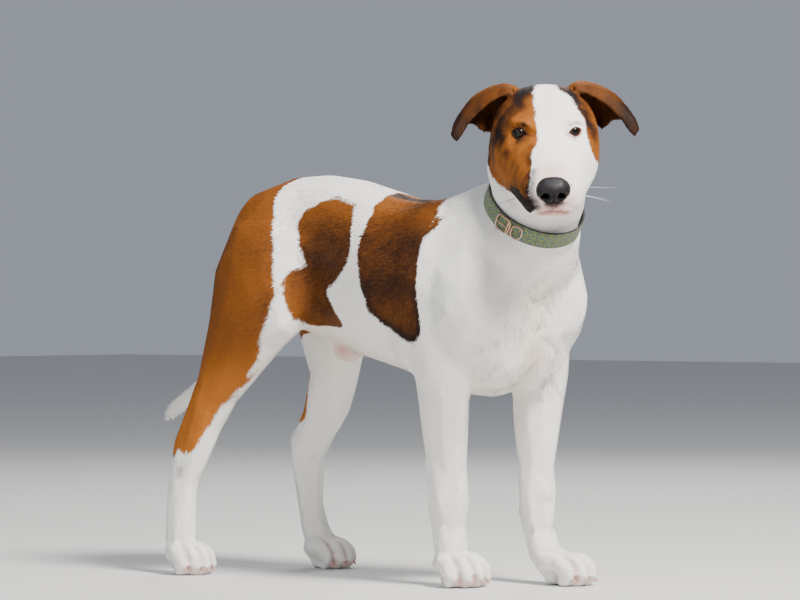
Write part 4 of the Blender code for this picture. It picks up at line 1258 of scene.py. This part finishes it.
coat_material = tuft_finish()
coat = [coat_piece(name, *values) for name, values in COATS.items()]
total = sum(len(piece.data.polygons) for piece in coat)
print("coat", total, "triangles, most in one piece", max(len(piece.data.polygons) for piece in coat))

# %% [markdown]
# Three long stiff whiskers stand out of each side of the muzzle, dark on the right and pale
# on the left.  Each is a thin tapering rod, bent back a little.

# %% Whiskers
def named(name):
    """The piece just added, under its name."""
    made = bpy.context.object
    made.name = made.data.name = name
    return made

def whisker(root, way, droop, long):
    """A tapering rod from its root along a way, drooping to its tip."""
    bpy.ops.object.select_all(action="DESELECT")
    bpy.ops.mesh.primitive_cone_add(vertices=6, radius1=0.00022, radius2=0.00004, depth=long,
                                    end_fill_type="TRIFAN")
    made = named("whisker")
    shape = bmesh.new()
    shape.from_mesh(made.data)
    sides = [edge for edge in shape.edges if abs(edge.verts[0].co.z - edge.verts[1].co.z) > long * 0.9]
    bmesh.ops.subdivide_edges(shape, edges=sides, cuts=7)
    turn = way.to_track_quat("Z", "Y").to_matrix()
    for vert in shape.verts:
        far = vert.co.z / long + 0.5
        vert.co.z = far * long
        vert.co = turn @ vert.co + droop * (far ** 2) * long + root
    bmesh.ops.triangulate(shape, faces=shape.faces)
    shape.to_mesh(made.data)
    shape.free()
    made.location = (0, 0, 0)
    made.data.shade_smooth()
    return made

# forward, out and up on the muzzle, and length
WHISKERS = ((0.142, 0.033, -0.036, 0.034), (0.132, 0.036, -0.03, 0.042), (0.124, 0.037, -0.042, 0.038))
rods = []
for s in (-1, 1):
    for forward, out, high, long in WHISKERS:
        root, normal = tree.find_nearest(on_head(forward, s * out, high))[:2]
        way = (normal + HEAD_AXES @ Vector((0.15, 0.25 * s, -0.05))).normalized()
        rods.append(whisker(root - normal * 0.001, way, HEAD_AXES @ Vector((-0.3, 0, -0.12)), long))
        give(rods[-1], "dark", np.full(len(rods[-1].data.vertices), 1.0 if s < 0 else 0.0))
whiskers = joined(rods)
whiskers.name = whiskers.data.name = "whiskers"
finish = Finish("whisker_hair", roughness=0.35)
shade = finish.noise(0.004, finish.place())
hair = finish.mix(shade, (0.75, 0.73, 0.7), (0.9, 0.89, 0.86))
hair = finish.mix(finish.attribute("dark"), hair, (0.02, 0.012, 0.01))
whiskers.data.materials.append(finish.done(base_color=hair))
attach(whiskers, "root")
print(len(rods), "whiskers")

# %% [markdown]
# An eye is a ball with a slight bulge in front.  The iris is dark brown with fine spokes, and
# the pupil is wide and black; a wet coat gives the small bright highlights.

# %% Eyes
def eye(side):
    bpy.ops.object.select_all(action="DESELECT")
    bpy.ops.mesh.primitive_uv_sphere_add(segments=48, ring_count=32, radius=EYE_RADIUS)
    made = named(side + "_eye_ball")
    spots = points_of(made)
    gaze = np.hypot(spots[:, 0], spots[:, 1]) / EYE_RADIUS + (spots[:, 2] < 0)
    bulge = 0.0007 * (1.0 - ramp(gaze, 0.25, 0.62))
    spots += spots / EYE_RADIUS * bulge[:, None]
    look = eye_axes[side] @ turned(90.0, "Y")
    place_points(made, out_of_frame(spots, eye_middle[side], look))
    give(made, "gaze", gaze)
    made.data.shade_smooth()
    made.data.materials.append(eye_material)
    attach(made, "root")
    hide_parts(side + "_eye")
    return made

finish = Finish("wet_eye", roughness=0.1, specular_ior_level=0.22, coat_weight=0.05, coat_roughness=0.02)
gaze = finish.attribute("gaze")
spokes = finish.noise(0.0007, finish.place(), detail=4.0)
iris = finish.mix(spokes.between(0.35, 0.7), (0.007, 0.003, 0.0015), (0.03, 0.012, 0.005))
iris = finish.mix(gaze.between(0.5, 0.62), iris, (0.008, 0.004, 0.003))
iris = finish.mix(gaze.between(0.27, 0.31), (0.002, 0.002, 0.002), iris)
ball = finish.mix(gaze.between(0.68, 0.8), iris, (0.12, 0.065, 0.05))
eye_material = finish.done(base_color=ball, normal=finish.bump(spokes, 0.0001, 0.1))
eyes = [eye(side) for side in SIDES]
print(len(eyes), "eyes")

# %% [markdown]
# The nose leather is one pad, broad above and narrower below.  A ball is drawn to its size,
# the nostrils are pressed in with a comma-shaped slit running out to each side, and a groove
# is drawn down the middle.  Its surface is pebbled.  A grey sheen is painted into the colour of
# its top, and painted shade darkens the nostrils.

# %% Nose leather
def hump(across, up, middle, width):
    """1 at a middle given across and up, fading out over the widths."""
    return np.exp(-((across - middle[0]) / width[0]) ** 2 - ((up - middle[1]) / width[1]) ** 2)

bpy.ops.object.select_all(action="DESELECT")
bpy.ops.mesh.primitive_ico_sphere_add(subdivisions=6, radius=1.0)
nose = named("nose_leather")
ball = points_of(nose)
x, y, z = ball.T
front = ramp(x, 0.0, 0.6)
y = y * (1.0 - 0.3 * ramp(-z, 0.05, 0.95)) * (1.0 + 0.05 * front)
shoulders = 0.06 * np.exp(-((np.abs(y) - 0.55) / 0.25) ** 2) * ramp(z, 0.0, 0.7)
z = z * (1.0 - 0.1 * front * (z > 0)) + shoulders
for s in (-1, 1):
    hole = hump(y, z, (s * 0.42, -0.1), (0.17, 0.2))
    slit_at = -0.1 - 0.32 * ramp(np.abs(y), 0.45, 0.95)
    slit = np.exp(-((z - slit_at) / 0.085) ** 2) * ramp(s * y, 0.4, 0.55)
    wing = hump(y, z, (s * 0.62, 0.16), (0.2, 0.2))
    x = x - (0.55 * hole + 0.26 * slit - 0.06 * wing) * ramp(x, -0.25, 0.35)
groove = np.exp(-(y / 0.055) ** 2) * (1.0 - ramp(z, -0.05, 0.3)) * front
bridge = hump(y, z, (0.0, -0.08), (0.26, 0.5)) * front
x = x - 0.13 * groove + 0.05 * bridge
shape = np.stack([x, y, z], axis=1) * np.array(NOSE_SIZE)
place_points(nose, out_of_frame(shape, NOSE_MIDDLE, HEAD_AXES))
# high: 0 at the bottom of the pad and 1 at its top; the colour uses it to paint a grey sheen on the top
give(nose, "high", ball[:, 2] * 0.5 + 0.5)
# hollow: the nostrils, which the colour darkens as painted shade
hollow = sum(hump(ball[:, 1], ball[:, 2], (s * 0.42, -0.1), (0.2, 0.24)) for s in (-1, 1))
give(nose, "hollow", np.clip(hollow, 0, 1) * front)
nose.data.shade_smooth()
finish = Finish("nose_leather", roughness=0.4, specular_ior_level=0.22, coat_weight=0.04,
                coat_roughness=0.25)
pebbles = finish.node("ShaderNodeTexVoronoi", {"feature": "SMOOTH_F1"},
                      {"Vector": finish.place(), "Scale": 900.0, "Smoothness": 0.4})
high, hollow = finish.attribute("high"), finish.attribute("hollow")
# painted sheen: the top of the leather is painted a lighter grey
leather = finish.mix(high.between(0.45, 0.95), (0.003, 0.002, 0.003), (0.016, 0.013, 0.018))
# painted shade: the nostril hollows are painted near black
leather = finish.mix(hollow.between(0.3, 0.9), leather, (0.002, 0.001, 0.001))
nose.data.materials.append(finish.done(base_color=leather, normal=finish.bump(pebbles, 0.0005, 0.5),
                                       roughness=0.3 + 0.25 * high.between(0.4, 0.9)))
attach(nose, "root")
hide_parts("nose")
print("nose leather", len(nose.data.polygons), "faces")

# %% [markdown]
# The claws have the right shape already.  Copies of them are merged and rounded by
# subdivision, and their horn is layered in pink and pale.

# %% Claws
finish = Finish("claw_horn", roughness=0.38, coat_weight=0.15)
layers = finish.noise(0.0015, finish.place((1.0, 1.0, 3.0)), detail=3.0)
horn = finish.mix(layers.between(0.35, 0.65), (0.46, 0.23, 0.17), (0.7, 0.5, 0.4))
horn_material = finish.done(base_color=horn, normal=finish.bump(layers, 0.0002, 0.4))
claw_nodes = sorted(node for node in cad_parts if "claw" in node)
for node in claw_nodes:
    claw = merged_copy(node, node + "_horn")
    rounder = claw.modifiers.new("rounder", "SUBSURF")
    rounder.levels = rounder.render_levels = 2
    apply_all(claw)
    claw.data.shade_smooth()
    claw.data.materials.append(horn_material)
    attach(claw, "root")
    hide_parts(node)
print(len(claw_nodes), "claws")

# %% [markdown]
# The collar is a woven band.  It is spun as a tube with no ends, drawn to the oval of the neck,
# and given its thickness.  A map of its own runs once round it, in metres.

# %% Collar band
def divided(piece, cuts, least):
    """Divides the edges that rise by more than least."""
    shape = bmesh.new()
    shape.from_mesh(piece.data)
    rising = [edge for edge in shape.edges if abs(edge.verts[0].co.z - edge.verts[1].co.z) > least]
    bmesh.ops.subdivide_edges(shape, edges=rising, cuts=cuts)
    shape.to_mesh(piece.data)
    shape.free()

bpy.ops.object.select_all(action="DESELECT")
bpy.ops.mesh.primitive_cylinder_add(vertices=144, radius=COLLAR_RADIUS + 0.0004, depth=COLLAR_WIDTH,
                                    end_fill_type="NOTHING")
band = named("collar_band")
divided(band, 7, 0.01)
wall = band.modifiers.new("wall", "SOLIDIFY")
wall.thickness, wall.offset = 0.0024, 1.0
apply_all(band)
spots = points_of(band)
angle = np.arctan2(spots[:, 1], spots[:, 0])
radius = np.hypot(spots[:, 0], spots[:, 1])
edge_in = ramp(np.abs(spots[:, 2]), COLLAR_WIDTH / 2 - 0.003, COLLAR_WIDTH / 2)
outer = radius > COLLAR_RADIUS + 0.0014
radius = radius - 0.0006 * edge_in * outer + 0.0003 * np.sin(angle * 7.0) * np.cos(spots[:, 2] * 90.0)
spots[:, 0], spots[:, 1] = radius * np.cos(angle) * COLLAR_STRETCH, radius * np.sin(angle)
give(band, "round", np.where(outer, 1.0, 0.0))
flat = np.stack([angle * COLLAR_RADIUS, spots[:, 2]], axis=1)
loop_points = np.empty(len(band.data.loops), np.int32)
band.data.loops.foreach_get("vertex_index", loop_points)
weave_map = flat[loop_points].reshape(-1, 2)
corners_of_faces = [len(face.vertices) for face in band.data.polygons]
faces_of_loops = np.repeat(np.arange(len(band.data.polygons)), corners_of_faces)
widest = np.full(len(band.data.polygons), -1e9)
np.maximum.at(widest, faces_of_loops, weave_map[:, 0])
lap = 2 * math.pi * COLLAR_RADIUS
weave_map[:, 0] += np.where(widest[faces_of_loops] - weave_map[:, 0] > lap / 2, lap, 0.0)
band.data.uv_layers.new(name="weave").data.foreach_set("uv", weave_map.astype(np.float32).ravel())
place_points(band, out_of_frame(spots, COLLAR_MIDDLE, COLLAR_AXES))
band.data.shade_smooth()
print("band", round(lap, 3), "m round")

# %% [markdown]
# The band has a printed face, dark edges and a dark lining.  The print is a plain repeat of
# rings, dots and small diamonds in green, yellow and teal on a grey ground, and fine threads
# run through all of it.

# %% The band's print and weave
finish = Finish("printed_webbing", roughness=0.78, sheen_weight=0.15)
weave = finish.node("ShaderNodeUVMap", {"uv_map": "weave"})
along, across, _ = finish.parts(weave)
REPEAT, THREAD = lap / 36, 0.0009

def cells(shift):
    """Position inside one repeat of the print, from -1 to 1 both ways."""
    u = (along / REPEAT + 0.5 * shift).math("FRACT") * 2.0 - 1.0
    v = (across / REPEAT + 0.5 * shift + 0.25).math("FRACT") * 2.0 - 1.0
    return u, v

def ring_of(shift, size, thick):
    u, v = cells(shift)
    far = (u * u + v * v).math("SQRT")
    return 1.0 - ((far - size).math("ABSOLUTE") - thick).between(-0.04, 0.06)

def dot_of(shift, size, square=False):
    u, v = cells(shift)
    far = u.math("ABSOLUTE") + v.math("ABSOLUTE") if square else (u * u + v * v).math("SQRT")
    return 1.0 - (far - size).between(-0.05, 0.05)

worn = finish.noise(0.004, finish.place(), detail=3.0)
ground = finish.mix(worn, (0.055, 0.055, 0.08), (0.11, 0.105, 0.135))
face = finish.mix(ring_of(0, 0.7, 0.16), ground, (0.21, 0.27, 0.04))
face = finish.mix(dot_of(0, 0.44), face, (0.045, 0.13, 0.15))
face = finish.mix(dot_of(0, 0.18, True), face, (0.28, 0.33, 0.09))
face = finish.mix(dot_of(1, 0.4, True), face, (0.14, 0.22, 0.05))
face = finish.mix(dot_of(1, 0.17), face, (0.05, 0.14, 0.165))
threads = (along * (math.tau / THREAD)).math("SINE") * (across * (math.tau / THREAD)).math("SINE")
face = finish.mix(threads.between(-0.6, 1.0) * 0.3, face, (0.02, 0.022, 0.026))
edge = across.math("ABSOLUTE").between(COLLAR_WIDTH / 2 - 0.0016, COLLAR_WIDTH / 2 - 0.0011)
lining = 1.0 - finish.attribute("round").between(0.3, 0.7)
face = finish.mix(edge.math("MAXIMUM", lining), face, (0.014, 0.015, 0.018))
band.data.materials.append(finish.done(base_color=face, normal=finish.bump(threads, 0.0002, 0.6)))
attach(band, "root")
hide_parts("collar")
print("print repeats every", round(REPEAT, 4), "m")

# %% [markdown]
# Buckle and ring are bent from round wire.  A torus gives the wire, which is drawn into a
# rounded oblong or a D, bent to the band, and turned into the collar's frame.

# %% Bronze fittings
PER_DEGREE = COLLAR_RADIUS * math.radians(1.0)

def along_band(angle, height, lift):
    """Places on the band: degrees round it, height across it, lift off its face."""
    far = COLLAR_RADIUS + 0.003 + lift
    turn = np.radians(angle)
    local = np.stack([far * np.cos(turn) * COLLAR_STRETCH, far * np.sin(turn), height], axis=1)
    return out_of_frame(local, COLLAR_MIDDLE, COLLAR_AXES)

def wire_loop(name, wire, wide, tall, squareness, middle, flat_top=1.0):
    """A closed wire loop lying on the band; wide is in degrees, tall in metres."""
    bpy.ops.object.select_all(action="DESELECT")
    bpy.ops.mesh.primitive_torus_add(major_segments=72, minor_segments=14,
                                     major_radius=1.0, minor_radius=0.1)
    made = named(name)
    spots = points_of(made)
    turn = np.arctan2(spots[:, 1], spots[:, 0])
    out, up = (np.hypot(spots[:, 0], spots[:, 1]) - 1.0) * 10, spots[:, 2] * 10
    reach = np.abs(np.cos(turn)) ** squareness + np.abs(np.sin(turn)) ** squareness
    reach = reach ** (-1.0 / squareness)
    u = reach * np.cos(turn) * wide * PER_DEGREE / 2 + np.cos(turn) * out * wire
    v = reach * np.sin(turn) * tall / 2
    v = np.where(v > 0, v * flat_top, v) + np.sin(turn) * out * wire
    place_points(made, along_band(middle + u / PER_DEGREE, v, wire + 0.0008 + up * wire))
    made.data.shade_smooth()
    return made

def bar(name, wire, middle, tall, lift, wide):
    """A straight wire across the band, or along it when tall is 0."""
    bpy.ops.object.select_all(action="DESELECT")
    bpy.ops.mesh.primitive_cylinder_add(vertices=14, radius=1.0, depth=1.0)
    made = named(name)
    divided(made, 11, 0.5)
    spots = points_of(made)
    if tall:
        u, v = spots[:, 0] * wire / PER_DEGREE, spots[:, 2] * tall
    else:
        u, v = spots[:, 2] * wide, spots[:, 0] * wire
    place_points(made, along_band(middle + u, v, lift + spots[:, 1] * wire))
    return made

BUCKLE_AT, RING_AT = 118.0, 136.0
buckle = joined([wire_loop("buckle", 0.0012, 18.0, 0.0205, 4.5, BUCKLE_AT),
                 bar("buckle_bar", 0.0011, BUCKLE_AT + 6.5, 0.0195, 0.0022, 0),
                 bar("buckle_tongue", 0.0009, BUCKLE_AT - 0.5, 0, 0.0034, 14.0)])
ring = wire_loop("ring", 0.0011, 12.5, 0.0205, 2.4, RING_AT, flat_top=0.85)
finish = Finish("rose_bronze", roughness=0.28, metallic=1.0)
patina = finish.noise(0.003, finish.place(), detail=4.0)
bronze = finish.mix(patina.between(0.35, 0.7), (0.62, 0.42, 0.32), (0.36, 0.22, 0.15))
bronze_material = finish.done(base_color=bronze, roughness=0.22 + 0.25 * patina,
                              normal=finish.bump(patina, 0.0002, 0.2))
for piece, node in ((buckle, "collar_buckle"), (ring, "collar_ring")):
    piece.data.materials.append(bronze_material)
    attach(piece, "root")
    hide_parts(node)
print("buckle at", BUCKLE_AT, "degrees round the band, ring at", RING_AT)

# %% [markdown]
# The set is plain: a flat pale floor, a large soft key light high before the dog, a broad fill
# and a low light on its right, a light from behind, and an even sky.

# %% Floor, lights and camera
bpy.ops.object.select_all(action="DESELECT")
bpy.ops.mesh.primitive_plane_add(size=30.0, location=(0.0, 0.0, -0.0002))
floor = named("floor")
finish = Finish("pale_floor", roughness=0.85)
speckle = finish.noise(0.02, finish.place(), detail=4.0)
speckle = finish.mix(speckle, (0.6, 0.595, 0.58), (0.66, 0.655, 0.64))
floor.data.materials.append(finish.done(base_color=speckle))

def soft_light(name, place, target, size, power, colour):
    """A round lamp at a place, turned to its target."""
    lamp = bpy.data.lights.new(name, "AREA")
    lamp.shape, lamp.size = "DISK", size
    lamp.energy, lamp.color = power, colour
    made = bpy.data.objects.new(name, lamp)
    made.location = place
    made.rotation_euler = (Vector(target) - Vector(place)).to_track_quat("-Z", "Y").to_euler()
    bpy.context.collection.objects.link(made)

soft_light("key", (2.5, -0.5, 3.3), (0.05, 0, 0.35), 1.2, 400.0, (1.0, 0.955, 0.89))
soft_light("fill", (-1.6, -3.0, 2.4), (0.0, 0, 0.35), 2.4, 28.0, (0.9, 0.95, 1.0))
soft_light("low", (0.8, -3.6, 0.8), (0.05, 0, 0.12), 1.6, 22.0, (1.0, 0.98, 0.95))
soft_light("back", (-1.5, 2.6, 2.4), (0.0, 0, 0.4), 1.6, 50.0, (1.0, 0.98, 0.95))
sky = bpy.data.worlds.new("sky")
sky.use_nodes = True
glow = sky.node_tree.nodes["Background"].inputs
glow["Color"].default_value = (0.8, 0.87, 1.0, 1.0)
glow["Strength"].default_value = 0.38
bpy.context.scene.world = sky
view = bpy.data.cameras.new("camera")
view.lens, view.sensor_width = 171.0, 36.0
camera = bpy.data.objects.new("camera", view)
camera.location = (3.3176, -3.9044, 0.375)
camera.rotation_euler = (math.radians(90.0), 0.0, math.radians(40.0))
bpy.context.collection.objects.link(camera)
bpy.context.scene.camera = camera
print("camera stands", round(camera.location.length, 2), "m away")
